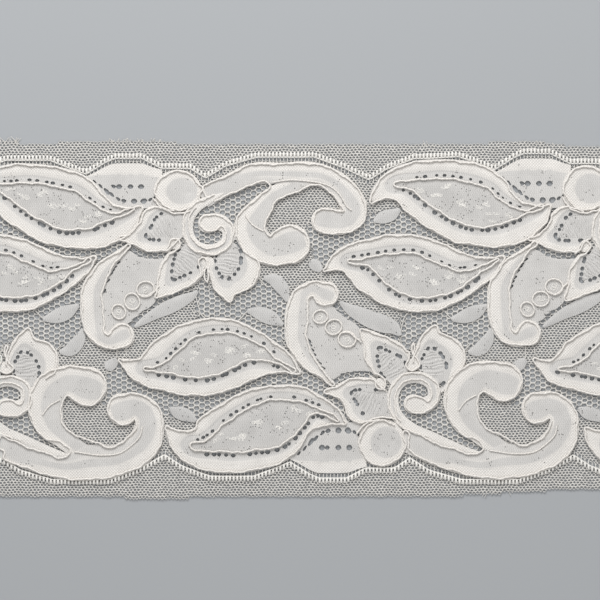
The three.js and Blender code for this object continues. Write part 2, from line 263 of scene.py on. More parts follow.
# The dotted scallop: x along the trim, y of its edge by the leaf, y of its edge by the border
DOTTED_SCALLOP = np.array([
    (-3.6, 49.4, 51.2), (-1.5, 47.2, 52.3), (0.2, 45, 53.2), (2, 42.4, 54.3), (3.6, 40.9, 55.2),
    (6, 39.2, 56.2), (10, 38.3, 56.3), (14.5, 38, 56.3), (17.5, 38, 56.1), (19.4, 38, 55.4),
    (20.8, 38.2, 54.8), (24, 38.5, 54),
])

# Its round holes beside the leaf, on the line through them: x, y, radius
LEAF_SIDE_HOLES = np.array([
    (-3, 50.7, 0), (-0.4, 49.2, 0.6), (1.7, 47.4, 0.7), (4, 44.9, 1.1), (5.7, 43.8, 0.85),
    (8.1, 41.7, 0.75), (10.1, 41, 0.85), (13.8, 40.9, 1.1), (17.3, 40.9, 1.15), (19.6, 41.5, 0.7),
    (21.2, 42.6, 0.6), (24, 44, 0),
])

# Its round holes along its middle, on one straight line, in each row: x, radius
MIDDLE_HOLES = {
    "lower": np.array([(7.9, 1.05), (9.8, 0.8), (13.8, 1), (17.7, 1.05)]),
    "upper": np.array([(6.4, 0.8), (8.4, 1.05), (12.5, 1), (16.3, 1.05)]),
}
MIDDLE_HOLE_LINE = 47.1

# The two cut edges of the net: X along the trim, Y across it
UPPER_EDGE = np.array([
    (-147, 63.3), (-108, 64.1), (-102, 63.6), (-100, 63), (-86, 63.4), (-72, 64), (-50, 64.1),
    (-43, 63.2), (-36, 62.5), (54, 62.6), (61, 63.2), (79, 63.6), (87, 63.6), (94, 62.5), (108, 62.2),
    (147, 62.6),
])
LOWER_EDGE = np.array([
    (-147, -63.4), (-72, -63.4), (-65, -64.2), (-48, -64.5), (-36, -64.1), (-22, -63.6), (54, -63.5),
    (64, -63.2), (72, -62.5), (90, -61.5), (108, -60.8), (147, -60.3),
])
# Each edge and which way is outwards
EDGES = {"lower": (LOWER_EDGE, -1), "upper": (UPPER_EDGE, 1)}

# The scalloped comb border of one repeat: x along the trim, y outwards
BORDER = np.array([
    (-48.7, 50.4), (-42.5, 54.4), (-32.4, 58.1), (-16.6, 58.1), (-3.6, 53), (3.6, 57.4), (7, 58.8),
    (16.6, 58.8), (23.6, 55.2), (34, 55.2), (39.5, 51.5), (46.6, 56), (58, 59.3), (78.5, 59.3),
    (89.5, 55.1), (98.3, 50.4),
])

# Where the net is open, as bands that run on under the clothwork
OPEN_ZONES = [
    Band(False, [(37.8, 2.3, 4.9), (48, 3, 8), (59, 1.5, 10.5), (66, -3, 10.5), (70, -5, 8.5)]),
    Band(False, [
        (-70.5, 24, 7.5), (-58, 26.5, 8), (-48, 29.5, 6), (-38, 33, 5), (-24, 26.7, 4.5), (-10, 22, 4.5),
        (2, 23.5, 4), (9, 27.5, 4), (15, 35.5, 3.5), (18, 40, 3),
    ]),
    Band(False, [
        (12.6, -5, 0.9), (15.5, -1.6, 1.3), (19.6, 2, 1.5), (24.5, 5, 1.5), (30, 7, 1.4), (35, 8.2, 1),
    ]),
    Band(False, [(11.5, 24, 0.9), (14.5, 22, 1.4), (19, 20.4, 1.5), (24, 20.8, 1.4), (27, 22, 1)]),
    Band(False, [(38.8, 12, 0.8), (38.6, 7, 2.6), (38.4, 2, 2.6), (39.5, -3, 2.4), (41.5, -6, 2)]),
    Band(False, [
        (40.5, 20, 6), (40.5, 26, 6.5), (41, 32, 7), (47, 37.5, 6.5), (55, 43, 5), (65, 48, 2.5),
    ]),
]

# Threads that part the open net from the fine one, or tie a tip to its neighbour: x, y
TIE_THREADS = [
    [(35.8, 6.8), (37.1, 1.9), (37.8, -0.2), (39.7, -2.2), (41, -4)],
    [(56, 1), (54.5, 0.6), (52.7, -1.2), (51, -3)],
    [(61.5, 9.6), (60.2, 11), (59.3, 12), (58, 14)],
    [(-65.9, 10.6), (-65.9, 15)],
    [(-62.7, 11), (-62.4, 14)],
]

# How white and close the work is, from 0 to 1, against the share of the way across it
# A leaf's ring is grey at its outer side, partly as sparser work and partly as painted shade beside the rim
# cord
LEAF_TONES = [(0, 0.3), (0.08, 0.35), (0.24, 0.85), (0.8, 0.9), (0.95, 0.5), (1, 0.5)]
HEART_TONES = [(0, 0.3), (0.5, 0.15), (1, 0.3)]
PETAL_TONES = [(0, 0.3), (0.24, 0.35), (0.34, 1), (1, 1)]
RIB_TONES = [(0, 0.15), (1, 0.15)]
SEPAL_TONES = [(0, 0.7), (0.12, 0.95), (0.5, 0.9), (0.6, 0.35), (1, 0.4)]
SEPAL_HEAD_TONES = [(0, 1), (0.24, 1), (0.32, 0.3), (0.7, 0.3), (0.78, 1), (1, 1)]
STEM_TONES = [(0, 0.5), (0.08, 0.3), (0.74, 0.3), (0.84, 0.62), (1, 0.66)]
SPIRAL_TONES = [(0, 0.8), (0.5, 1), (1, 0.8)]
# The spiral's middle stretch: darker down its middle, painted shade beside the cord that runs there
SPIRAL_CORD_SHADE_TONES = [(0, 0.8), (0.25, 1), (0.4, 0.4), (0.6, 0.4), (0.75, 1), (1, 0.8)]
SCROLL_TONES = [
    (0, 0.55), (0.28, 0.56), (0.33, 0.66), (0.4, 0.66), (0.44, 0.27), (0.6, 0.28), (0.65, 1), (1, 1),
]
SCROLL_HEAD_TONES = [(0, 1), (0.12, 1), (0.2, 0.3), (0.7, 0.3), (0.8, 1), (1, 1)]
HEAD_TONES = [(0, 1), (0.36, 0.95), (0.44, 0.25), (0.95, 0.35), (1, 0.6)]
HEAD_TIP_TONES = [(0, 1), (0.22, 1), (0.3, 0.25), (0.78, 0.25), (0.86, 1), (1, 1)]
SCALLOP_TONES = [(0, 0.25), (0.46, 0.25), (0.56, 0.9), (1, 0.9)]
DISC_TONES = [(0, 0.2), (0.6, 0.25), (0.68, 1), (1, 1)]
PATCH_TONES = [(0, 1), (1, 1)]
LEAFLET_TONES = [(0, 0.6), (0.5, 0.5), (1, 0.6)]
EVEN_TONES = [(0, 0.3), (1, 0.3)]

# How a band's tones change along it: share of the way from its root, tones
SEPAL_STAGES = [(0.62, SEPAL_TONES), (0.8, SEPAL_HEAD_TONES)]
SCROLL_STAGES = [(0.16, STEM_TONES), (0.28, SCROLL_TONES), (0.62, SCROLL_TONES), (0.8, SCROLL_HEAD_TONES)]
HEAD_STAGES = [(0.62, HEAD_TONES), (0.8, HEAD_TIP_TONES)]
SPIRAL_STAGES = [(0.16, SPIRAL_TONES), (0.24, SPIRAL_CORD_SHADE_TONES), (0.78, SPIRAL_CORD_SHADE_TONES), (0.85, SPIRAL_TONES)]


# Curves

# Points at which a curve is measured before it is cut into even steps, and points to each knot of a line
CURVE_SAMPLES = 801
SAMPLES_PER_KNOT = 40
# Fewest even steps of a curve and of a line
CURVE_STEPS = 4
LINE_STEPS = 2
SHORTEST_STEP = 1e-9


def unit(steps):
    """Steps made one long: each over its own length."""
    return steps / np.maximum(np.linalg.norm(steps, axis=1, keepdims=True), SHORTEST_STEP)


def leftwards(steps):
    """Steps turned a quarter turn to the left: x, y becomes -y, x."""
    return np.stack([-steps[:, 1], steps[:, 0]], 1)


def circle(angles):
    """Points on a circle of radius 1: the cosine and the sine of each angle."""
    return np.stack([np.cos(angles), np.sin(angles)], 1)


def eased_step(x):
    """Smooth step from 0 to 1 as x goes from 0 to 1."""
    x = np.clip(x, 0, 1)
    return x * x * (3 - 2 * x)


def spine(sections, t):
    """Curve through the sections, for t from 0 to 1. Each stretch is a cubic whose end slopes come from
    the neighbouring sections, weighed by the square roots of their distances. Returns x, y and half the
    width, and the slopes of all three."""
    knots = np.asarray(sections, float)
    knots = np.vstack([2 * knots[0] - knots[1], knots, 2 * knots[-1] - knots[-2]])
    place = np.clip(t, 0, 1) * (len(knots) - 3)
    k = np.minimum(place.astype(int), len(knots) - 4)
    w = (place - k)[:, None]
    p0, p1, p2, p3 = (knots[k + i] for i in range(4))
    d0, d1, d2 = (np.sqrt(np.linalg.norm(b - a, axis=1))[:, None]
                  for a, b in ((p0, p1), (p1, p2), (p2, p3)))
    m1 = ((p1 - p0) / d0 - (p2 - p0) / (d0 + d1) + (p2 - p1) / d1) * d1
    m2 = ((p2 - p1) / d1 - (p3 - p1) / (d1 + d2) + (p3 - p2) / d2) * d1
    c2 = 3 * (p2 - p1) - 2 * m1 - m2
    c3 = 2 * (p1 - p2) + m1 + m2
    return p1 + w * (m1 + w * (c2 + w * c3)), m1 + w * (2 * c2 + 3 * w * c3)


def outline(band, s, inset=0.0):
    """Outline of a band, for s from 0 to 1: spine point plus half the width to one side, from the root
    (s = 0) up to the tip (one half), then back down the other side. A round head swings the offset
    through a half circle."""
    s = np.asarray(s, float)
    head = HEAD_SHARE if band.round else 0.0
    away = np.abs(s - 0.5)
    point, slope = spine(band.sections, np.maximum(away - head, 0) / (0.5 - head))
    way = unit(slope[:, :2])
    half = point[:, 2] - inset
    if inset > 0:
        half = np.maximum(half, CORD_NARROWEST)
    swing = np.zeros_like(s)
    if band.round:
        swing = np.clip(1 - away / head, 0, 1) * math.pi / 2
    out = np.where(s < 0.5, 1, -1) * half * np.cos(swing)
    ahead = -half * np.sin(swing)
    return point[:, :2] + leftwards(way) * out[:, None] + way * ahead[:, None]


def closed_outline(band, u, inset=0.0):
    """Outline of a band closed round its root, for u from 0 to 1: both sides, then half a circle on the
    root."""
    u = np.asarray(u, float)
    sides = outline(band, np.clip(u / (1 - ROOT_SHARE), 0, 1), inset)
    root, slope = spine(band.sections, np.ones(1))
    way = unit(slope[:, :2])
    half = max(root[0, 2] - inset, CORD_NARROWEST)
    turn = np.clip(1 - (1 - u) / ROOT_SHARE, 0, 1)[:, None] * math.pi
    arc = root[:, :2] + half * (np.sin(turn) * way - np.cos(turn) * leftwards(way))
    return np.where((u > 1 - ROOT_SHARE)[:, None], arc, sides)


def run_of(points):
    """Distance along a line of points, from its start."""
    return np.concatenate([[0], np.cumsum(np.linalg.norm(np.diff(points, axis=0), axis=1))])


def even_shares(curve, start, end, step):
    """Parameters from start to end at which a curve has gone on by even steps."""
    s = np.linspace(start, end, CURVE_SAMPLES)
    run = run_of(curve(s))
    return np.interp(np.linspace(0, run[-1], max(int(run[-1] / step), CURVE_STEPS) + 1), run, s)


def resampled(points, step):
    """The same line at even steps."""
    run = run_of(points)
    at = np.linspace(0, run[-1], max(int(run[-1] / step), LINE_STEPS) + 1)
    return np.stack([np.interp(at, run, points[:, 0]), np.interp(at, run, points[:, 1])], 1)


def smooth_line(knots, step):
    """The cubic spine curve through a few x, y points, at even steps."""
    sections = [(x, y, 0.0) for x, y in knots]
    curve, _ = spine(sections, np.linspace(0, 1, SAMPLES_PER_KNOT * len(knots)))
    return resampled(curve[:, :2], step)


def rounded(points, passes):
    """Softens corners: each point moves to the mean of itself and its two neighbours, and the ends
    stay."""
    for _ in range(passes):
        points = np.vstack([points[:1], (points[:-2] + points[1:-1] + points[2:]) / 3, points[-1:]])
    return points


def nudged(name, knots, row, copy):
    """Knots of a band or line of the motif as they lie in one row and copy: all of their nudges added."""
    found = [(along, out) for row_name, number, start, along, out in NUDGES
             if row_name == row.name and number in (None, copy) and name.startswith(start)]
    dx, dy = sum(along for along, _ in found), sum(out for _, out in found)
    return [(x + dx, y + dy, *rest) for x, y, *rest in knots]


def motif_bands(row, copy):
    """The bands of one row and copy of the motif, as they lie."""
    laid = {**BANDS, **ROW_BANDS[row.name]}
    return {name: Band(band.round, nudged(name, band.sections, row, copy)) for name, band in laid.items()}


def motif_line(name, row, copy):
    """A line of one row and copy of the motif, as it lies."""
    return nudged(name, ROW_LINES[row.name].get(name, LINES[name]), row, copy)


def drawn_in(x, out, row):
    """Distance outwards as it lies on the trim: an eased step draws the upper row's border side in."""
    if row.name == "lower":
        return out
    return out - np.interp(x, *DRAWN_IN.T) * eased_step((out - DRAWN_FROM) / (DRAWN_FULL - DRAWN_FROM))


def placed(points, row, copy):
    """Motif points, y outwards, moved to their row and copy on the trim."""
    x = points[:, 0] + row.along + copy * REPEAT
    return np.stack([x, MIDDLE_LINE + (drawn_in(x, points[:, 1], row) + ROW_SPREAD) * row.across], 1)


def edge_at(x, edge):
    """Y of a cut edge, in straight stretches."""
    return np.interp(x, *edge.T)


def inside(points, polygon):
    """True for points within a closed polygon: a line to the right crosses its sides an odd number of
    times."""
    low, high = polygon.min(0), polygon.max(0)
    found = np.zeros(len(points), bool)
    near = np.flatnonzero(((points >= low) & (points <= high)).all(1))
    if len(near):
        x, y = points[near, 0][:, None], points[near, 1][:, None]
        a, b = polygon, np.roll(polygon, -1, axis=0)
        spans = (a[:, 1] > y) != (b[:, 1] > y)
        rise = np.where(b[:, 1] == a[:, 1], 1, b[:, 1] - a[:, 1])
        crossing = a[:, 0] + (y - a[:, 1]) / rise * (b[:, 0] - a[:, 0])
        found[near] = (spans & (x < crossing)).sum(1) % 2 == 1
    return found


# Meshes

# A point this near to a square cut lies on it, in metres
CUT_NEAR = 1e-7


class Fabric:
    """Gathers surfaces, each with the same named values at every point, into one mesh."""

    def __init__(self):
        """A fabric with no surface yet."""
        self.points = []
        self.faces = []
        self.values = {}
        self.count = 0

    def add(self, points, faces, **values):
        """Adds a surface: its points, its blocks of faces, and its named values at each point."""
        self.points.append(points)
        self.faces.extend(block + self.count for block in faces if len(block))
        for name, value in values.items():
            self.values.setdefault(name, []).append(value)
        self.count += len(points)

    def made(self, name, material, smooth_under):
        """The mesh object, cut square at both ends of the trim."""
        mesh = bpy.data.meshes.new(name)
        points = np.concatenate(self.points) * MM
        corners = np.concatenate([block.ravel() for block in self.faces])
        sizes = np.concatenate([np.full(len(block), block.shape[1]) for block in self.faces])
        mesh.vertices.add(len(points))
        mesh.vertices.foreach_set("co", points.ravel())
        mesh.loops.add(len(corners))
        mesh.loops.foreach_set("vertex_index", corners.astype(np.int32))
        mesh.polygons.add(len(sizes))
        mesh.polygons.foreach_set("loop_start", (np.cumsum(sizes) - sizes).astype(np.int32))
        mesh.polygons.foreach_set("use_smooth", np.ones(len(sizes), bool))
        for value, blocks in self.values.items():
            whole = np.concatenate(blocks)
            kind, field = ("FLOAT", "value") if whole.ndim == 1 else ("FLOAT_VECTOR", "vector")
            mesh.attributes.new(value, kind, "POINT").data.foreach_set(field, whole.ravel())
        mesh.update(calc_edges=True)
        cut_to_length(mesh)
        mesh.set_sharp_from_angle(angle=math.radians(smooth_under))
        mesh.materials.append(material)
        made = bpy.data.objects.new(name, mesh)
        bpy.context.collection.objects.link(made)
        return made


def cut_to_length(mesh):
    """Cuts a mesh square at both ends of the trim and closes the cuts."""
    shape = bmesh.new()
    shape.from_mesh(mesh)
    for end in (-1, 1):
        everything = shape.verts[:] + shape.edges[:] + shape.faces[:]
        plane = {"plane_co": (end * HALF_LENGTH * MM, 0, 0), "plane_no": (end, 0, 0)}
        cut = bmesh.ops.bisect_plane(shape, geom=everything, dist=CUT_NEAR, clear_outer=True, **plane)
        rim = [e for e in cut["geom_cut"] if isinstance(e, bmesh.types.BMEdge)]
        bmesh.ops.holes_fill(shape, edges=rim, sides=0)
    shape.to_mesh(mesh)
    shape.free()


def grid_faces(rows, columns, closed_rows=False):
    """Quads of a grid whose columns join up, and whose rows do too if closed. Also the two end faces."""
    k = np.arange(rows if closed_rows else rows - 1)[:, None] * columns
    after = (k + columns) % (rows * columns)
    j = np.arange(columns)[None, :]
    turn = (j + 1) % columns
    quads = np.stack([k + j, after + j, after + turn, k + turn], -1).reshape(-1, 4)
    if closed_rows:
        return [quads]
    first = np.arange(columns)[None, :]
    last = (rows - 1) * columns + np.arange(columns)[None, ::-1]
    return [quads, first, last]


def turned(faces, flip):
    """The same faces, turned round if flip."""
    return [block[:, ::-1] for block in faces] if flip else faces


def staged(stages, share, v):
    """Closeness over a strip: each stage's tones across it, and straight blends from stage to stage along
    it."""
    at = [start for start, _ in stages]
    table = np.array([np.interp(v, *zip(*tones)) for _, tones in stages])
    return np.stack([np.interp(share, at, column) for column in table.T], 1)


def strip(side_a, side_b, steps, tones=None, stages=None, lift=0.0, crown=CLOTH_CROWN, sink=0.0,
          closed=False, ripple=None):
    """Cloth between two side lines: a + (b - a) v across, on an arch of crown times the root of 4 v (1
    - v), with a flat underside. Its root sinks by sink over its first stretch. Its tones are even along
    it, or go through stages to a white end. Returns points, faces, and at each point the closeness and
    how near it is to the strip's middle. ripple(run, v) adds to the height."""
    v = np.linspace(0, 1, steps + 1)
    flat = side_a[:, None] * (1 - v)[None, :, None] + side_b[:, None] * v[None, :, None]
    run = run_of((side_a + side_b) / 2)[:, None]
    drop = sink * (1 - eased_step(run / SINK_RUN))
    height = CLOTH_TOP + lift + crown * np.sqrt(4 * v * (1 - v))[None, :] - drop
    if ripple is not None:
        height = height + ripple(run, v[None, :])
    top = np.concatenate([flat, height[..., None]], -1)
    low = np.broadcast_to(CLOTH_UNDER + lift - drop, (len(flat), 2))
    under = np.concatenate([flat[:, [-1, 0]], low[..., None]], -1)
    points = np.concatenate([top, under], 1)
    closeness = staged(stages or [(0, tones)], (run / run[-1])[:, 0], v)
    if stages:
        closeness = np.maximum(closeness, eased_step((run - run[-1] + TIP_RIM) / TIP_RISE))
    closeness = np.concatenate([closeness, closeness[:, [-1, 0]]], 1)
    middle = np.broadcast_to(np.append(4 * v * (1 - v), [0, 0]), closeness.shape)
    along = np.diff(side_a, axis=0)
    over = (side_b - side_a)[:-1]
    up = (along[:, 0] * over[:, 1] - along[:, 1] * over[:, 0]).sum() > 0
    faces = turned(grid_faces(len(flat), steps + 3, closed), not up)
    return points.reshape(-1, 3), faces, closeness.ravel(), middle.ravel()


def tube(path, radius, sides, level, closed=False):
    """Round section carried along a flat path: centre + radius (cos a across + sin a up). ply holds the
    cosine and sine of twice the angle, for the twist of a cord, and the distance along it."""
    way = np.gradient(path, axis=0)
    if closed:
        way = np.roll(path, -1, axis=0) - np.roll(path, 1, axis=0)
    across = leftwards(unit(way))
    a = np.arange(sides) * 2 * math.pi / sides
    flat = path[:, None] + across[:, None] * (radius * np.cos(a))[None, :, None]
    level = np.broadcast_to(level, len(path))
    height = level[:, None] + (radius * np.sin(a))[None, :]
    points = np.concatenate([flat, height[..., None]], -1)
    run = np.broadcast_to(run_of(path)[:, None], height.shape)
    twist = [np.broadcast_to(f(2 * a)[None, :], height.shape) for f in (np.cos, np.sin)]
    ply = np.stack([*twist, run], -1)
    return points.reshape(-1, 3), grid_faces(len(path), sides, closed), ply.reshape(-1, 3)


def on_trim(points, row, copy):
    """Motif points with heights, moved to their row and copy."""
    return np.concatenate([placed(points[:, :2], row, copy), points[:, 2:]], 1)


# Clothwork

# Steps along a strip that is plain, small, ribbed or cut by holes
PLAIN_STEP = 0.8
SMALL_STEP = 0.6
RIB_STEP = 0.28
HOLE_STEP = 0.26

# Just short of a band's tip, and the arc on a round root: where it starts and its steps
TIP_SHARE = 0.497
ROOT_ARC = 0.47
ROOT_ARC_STEPS = 4

# Round a heart: how far its collar reaches in, where the line of holes lies, how wide the lane is, and
# the shares of the room up to the rim that a hole and the lane may take. Points from which that room is
# measured
COLLAR_INSET = 0.3
HOLE_OUT = 0.6
LANE_WIDTH = 1.9
HOLE_ROOM = 0.4
LANE_ROOM = 0.85
RIM_SAMPLES = 600

# Rows of holes: first and last share of the line, spacing, half the length of a hole, half its width
LEAF_HOLES = {
    "lower": [(0.03, 0.47, 2.5, 0.85, 0.85), (0.51, 0.93, 2.6, 0.68, 0.58)],
    "upper": [(0.05, 0.2, 3.4, 0.7, 0.45), (0.2, 0.47, 3.1, 0.75, 0.65), (0.51, 0.93, 2.5, 0.85, 0.85)],
}
PETAL_HOLES = {
    "left": [(0.03, 0.93, 2.1, 0.78, 0.78)],
    "right": [(0.03, 0.93, 2.1, 0.78, 0.78)],
    "low": [(0.1, 0.5, 1.5, 0.68, 0.75), (0.55, 0.61, 1.8, 0.9, 0.8), (0.8, 0.88, 2.2, 0.7, 0.45)],
}
SEPAL_LEFT_HOLES = [(0.5, 0.9, 1.9, 0.8, 1)]
SEPAL_RIGHT_HOLES = [(0, 0.24, 2.2, 0.85, 1.5), (0.7, 0.95, 1.9, 0.8, 0.8)]

# How uneven a row is: the most a hole strays as a share of the spacing, its least and greatest size,
# and the share of holes that are missed
HOLE_STRAY = 0.3
HOLE_SIZES = (0.75, 1.1)
HOLE_MISSED = 0.1
# Half the length of a hole that is missed
SMALLEST_HOLE = 1e-6


def hole_row(run, rng, rows):
    """How deep an edge is cut at each distance along it: rows of uneven half ovals over shares of its
    length."""
    cut = np.zeros(len(run))
    for first, last, pitch, half, depth in rows:
        count = max(int((last - first) * run[-1] / pitch), 1)
        stray = rng.uniform(-HOLE_STRAY, HOLE_STRAY, count)
        centre = first * run[-1] + pitch * (np.arange(count) + 0.5 + stray)
        full = rng.uniform(*HOLE_SIZES, count) * (rng.random(count) > HOLE_MISSED)
        share = (run[:, None] - centre) / np.maximum(half * full, SMALLEST_HOLE)
        cut = np.maximum(cut, (depth * full * np.sqrt(np.clip(1 - share**2, 0, None))).max(1))
    return cut


def eased(side, towards, depth):
    """A side line drawn back towards the other side by a depth at each point."""
    return side + unit(towards - side) * depth[:, None]


def band_sides(band, step, round_root=False):
    """The two sides of a band, from the root to the tip, at even steps, with half a circle on the root if
    round."""
    s = even_shares(lambda s: outline(band, s), 0.0, TIP_SHARE, step)
    left, right = outline(band, s), outline(band, 1 - s)
    if round_root:
        u = 1 - ROOT_SHARE * np.linspace(ROOT_ARC, 0, ROOT_ARC_STEPS, endpoint=False)
        left = np.vstack([closed_outline(band, u), left])
        right = np.vstack([closed_outline(band, 2 - ROOT_SHARE - u), right])
    return left, right


def square_out(line, towards):
    """Unit steps square to a closed line, on the side where other points lie."""
    side = leftwards(unit(np.roll(line, -1, axis=0) - np.roll(line, 1, axis=0)))
    return side * np.sign((side * (towards - line)).sum())


def ringed(heart, rim, rng, tones, holes, lift, steps):
    """Cloth between a heart's outline and its rim's, closed round the root. A collar and a lane meet on
    a line just outside the heart, square to it, and each hole of the row cuts half an oval into both. A
    wide strip goes on from the lane to the rim."""
    u = even_shares(lambda u: closed_outline(heart, u), 0.0, 1.0, HOLE_STEP)[:-1]
    u = u[:len(u) // 2 * 2]
    inner = closed_outline(heart, u, COLLAR_INSET)
    edge = closed_outline(heart, u)
    outer = closed_outline(rim, u)
    rim_line = closed_outline(rim, np.linspace(0, 1, RIM_SAMPLES))
    room = np.linalg.norm(edge[:, None] - rim_line[None], axis=2).min(1)
    out = square_out(edge, outer)
    line = edge + out * np.minimum(HOLE_OUT, HOLE_ROOM * room)[:, None]
    lane = edge + out * np.minimum(LANE_WIDTH, LANE_ROOM * room)[:, None]
    cut = out * np.minimum(hole_row(run_of(edge), rng, holes), HOLE_ROOM * room)[:, None]
    yield strip(inner, line - cut, 1, EVEN_TONES, lift=lift, crown=0.0, closed=True)
    yield strip(line + cut, lane, 1, EVEN_TONES, lift=lift, crown=0.0, closed=True)
    yield strip(lane[::2], outer[::2], steps, tones, lift=lift, closed=True)


# Ribs across a petal's heart: height and turn for each millimetre, how soon they rise from its sides,
# and the two waves that sway them: how far, turn over the width, turn for each millimetre
RIB_HIGH = 0.17
RIB_TURN = 5.2
RIB_RISE = 8
RIB_SWAYS = ((1.5, 8, 0.6), (1.1, 0, 1.7))


def heart_ribs(run, v):
    """Uneven wavy ribs across a petal's heart, that die away at its sides: the sine of the distance
    along it, swayed by slower sines."""
    turn = RIB_TURN * run
    for far, over, along in RIB_SWAYS:
        turn = turn + far * np.sin(over * v + along * run)
    return RIB_HIGH * np.sin(turn) * np.minimum(RIB_RISE * v * (1 - v), 1)


# Strips of whole bands: step along, steps across, and their tones, lift, crown, sink and ripple
STRIPS = {
    "leaf_heart": (PLAIN_STEP, 10, {"tones": HEART_TONES, "lift": -0.06}),
    "petal_heart": (RIB_STEP, 6, {"tones": RIB_TONES, "lift": -0.06, "ripple": heart_ribs}),
    "sepal": (PLAIN_STEP, 8, {"stages": SEPAL_STAGES, "lift": 0.1, "sink": 0.25}),
    "scroll": (PLAIN_STEP, 16, {"stages": SCROLL_STAGES, "lift": 0.06, "sink": 0.2}),
    "scroll_head": (PLAIN_STEP, 12, {"stages": HEAD_STAGES, "lift": 0.1, "sink": 0.3}),
    "spiral": (SMALL_STEP, 12, {"stages": SPIRAL_STAGES, "lift": 0.16}),
    "spiral_tail": (SMALL_STEP, 4, {"tones": SPIRAL_TONES, "lift": 0.08, "crown": 0.12}),
    "leaflet": (SMALL_STEP, 4, {"tones": LEAFLET_TONES, "lift": -0.1}),
}

# Cloth round the hearts: lift, steps across
LEAF_RING = (0.0, 5)
PETAL_RING = (0.05, 6)

# How figured a leaf's heart, a petal's heart, a leaflet and a sepal's inner cloth are, from 0 to 1
LEAF_HEART_FIGURE = 1.0
PETAL_HEART_FIGURE = 0.3
LEAFLET_FIGURE = 0.5
SEPAL_CLOTH_FIGURE = 0.3


def band_strip(kind, band, round_root=False):
    """A whole band as one strip between its two sides."""
    step, steps, shape = STRIPS[kind]
    return strip(*band_sides(band, step, round_root), steps, **shape)


def leaf_clothwork(row, copy, rng):
    """Both leaves of one motif, as strips with how cool and how figured they are."""
    bands = motif_bands(row, copy)
    for kind in ("inner", "outer"):
        leaf, heart = bands["leaf_" + kind], bands["heart_" + kind]
        for part in ringed(heart, leaf, rng, LEAF_TONES, LEAF_HOLES[row.name], *LEAF_RING):
            yield part, 0.0, 0.0
        yield band_strip("leaf_heart", heart, True), 0.0, LEAF_HEART_FIGURE


def flower_clothwork(row, copy, rng):
    """The other clothwork of one motif, as strips with how cool and how figured they are."""
    bands = motif_bands(row, copy)
    for kind in ("left", "right", "low"):
        petal, heart = bands["petal_" + kind], bands["petal_" + kind + "_heart"]
        for part in ringed(heart, petal, rng, PETAL_TONES, PETAL_HOLES[kind], *PETAL_RING):
            yield part, 0.0, 0.0
        yield band_strip("petal_heart", heart, True), 0.0, PETAL_HEART_FIGURE
    for name in ("sepal", "scroll", "scroll_head", "spiral"):
        yield band_strip(name, bands[name]), 0.0, 0.0
    yield disc(DISC_CENTRE, DISC_MIDDLE, DISC_RADIUS, DISC_TONES, DISC_STEPS), 0.0, 0.0
    for part in dotted_scallop(row):
        yield part, 0.0, 0.0
    for name, patch in LOOP_PATCHES.items():
        *at, radius = nudged(name, [patch], row, copy)[0]
        yield disc(np.array(at), np.array(at), radius, PATCH_TONES, PATCH_STEPS), 0.0, 0.0
    if "spiral_tail" in bands:
        yield band_strip("spiral_tail", bands["spiral_tail"]), 0.0, 0.0
    for name in ("leaflet_long", "leaflet_high", "leaflet_low", "leaflet_small", "leaf_bud"):
        yield band_strip("leaflet", bands[name]), 1.0, LEAFLET_FIGURE
    yield sepal_cloth(bands["sepal"], rng), 0.0, SEPAL_CLOTH_FIGURE


# The cloth inside a sepal: steps along it, the shares of the sepal's outline that it follows and their
# samples, the step of its other edge, then steps across, lift and crown
SEPAL_CLOTH_ROWS = 170
SEPAL_CLOTH_SHARES = (0.6, 0.985)
SEPAL_CLOTH_SAMPLES = 400
SEPAL_CLOTH_STEP = 0.2
SEPAL_CLOTH_ACROSS = 10
SEPAL_CLOTH_LIFT = -0.06
SEPAL_CLOTH_CROWN = 0.12


def sepal_cloth_sides(sepal):
    """The two edges of the sparse cloth inside a sepal, with the same number of points on both."""
    left = outline(sepal, np.linspace(*SEPAL_CLOTH_SHARES, SEPAL_CLOTH_SAMPLES))
    right = smooth_line(SEPAL_CLOTH_EDGE, SEPAL_CLOTH_STEP)
    return [resampled(side, run_of(side)[-1] / (SEPAL_CLOTH_ROWS + 0.5)) for side in (left, right)]


def sepal_cloth(sepal, rng):
    """The sparse cloth between a sepal's inner side and the flower, with holes on both edges."""
    left, right = sepal_cloth_sides(sepal)
    holes_left = hole_row(run_of(left), rng, SEPAL_LEFT_HOLES)
    holes_right = hole_row(run_of(right), rng, SEPAL_RIGHT_HOLES)
    left, right = eased(left, right, holes_left), eased(right, left, holes_right)
    return strip(left, right, SEPAL_CLOTH_ACROSS, EVEN_TONES, lift=SEPAL_CLOTH_LIFT,
                 crown=SEPAL_CLOTH_CROWN)


# The dotted scallop: step along it, how often its edges are softened, lift, and steps across each strip
SCALLOP_STEP = 0.22
SCALLOP_PASSES = 12
SCALLOP_LIFT = -0.03
SCALLOP_ACROSS = (2, 4, 8)
# Shares of the way to the border between which its middle line stays, and the share of the room beside
# the leaf that a hole may take
MIDDLE_SHARES = (0.3, 0.8)
LEAF_SIDE_ROOM = 0.9


def scallop_edges():
    """The leaf side and the border side of a dotted scallop, at even steps along the trim."""
    x = np.arange(DOTTED_SCALLOP[0, 0], DOTTED_SCALLOP[-1, 0], SCALLOP_STEP)
    table_x, *edges = DOTTED_SCALLOP.T
    return [rounded(np.stack([x, np.interp(x, table_x, y)], 1), SCALLOP_PASSES) for y in edges]


def round_cuts(line, where, radius):
    """How deep round holes cut into a line on which their middles lie."""
    return np.sqrt(np.clip(radius**2 - (line[:, :1] - where)**2, 0, None)).max(1)


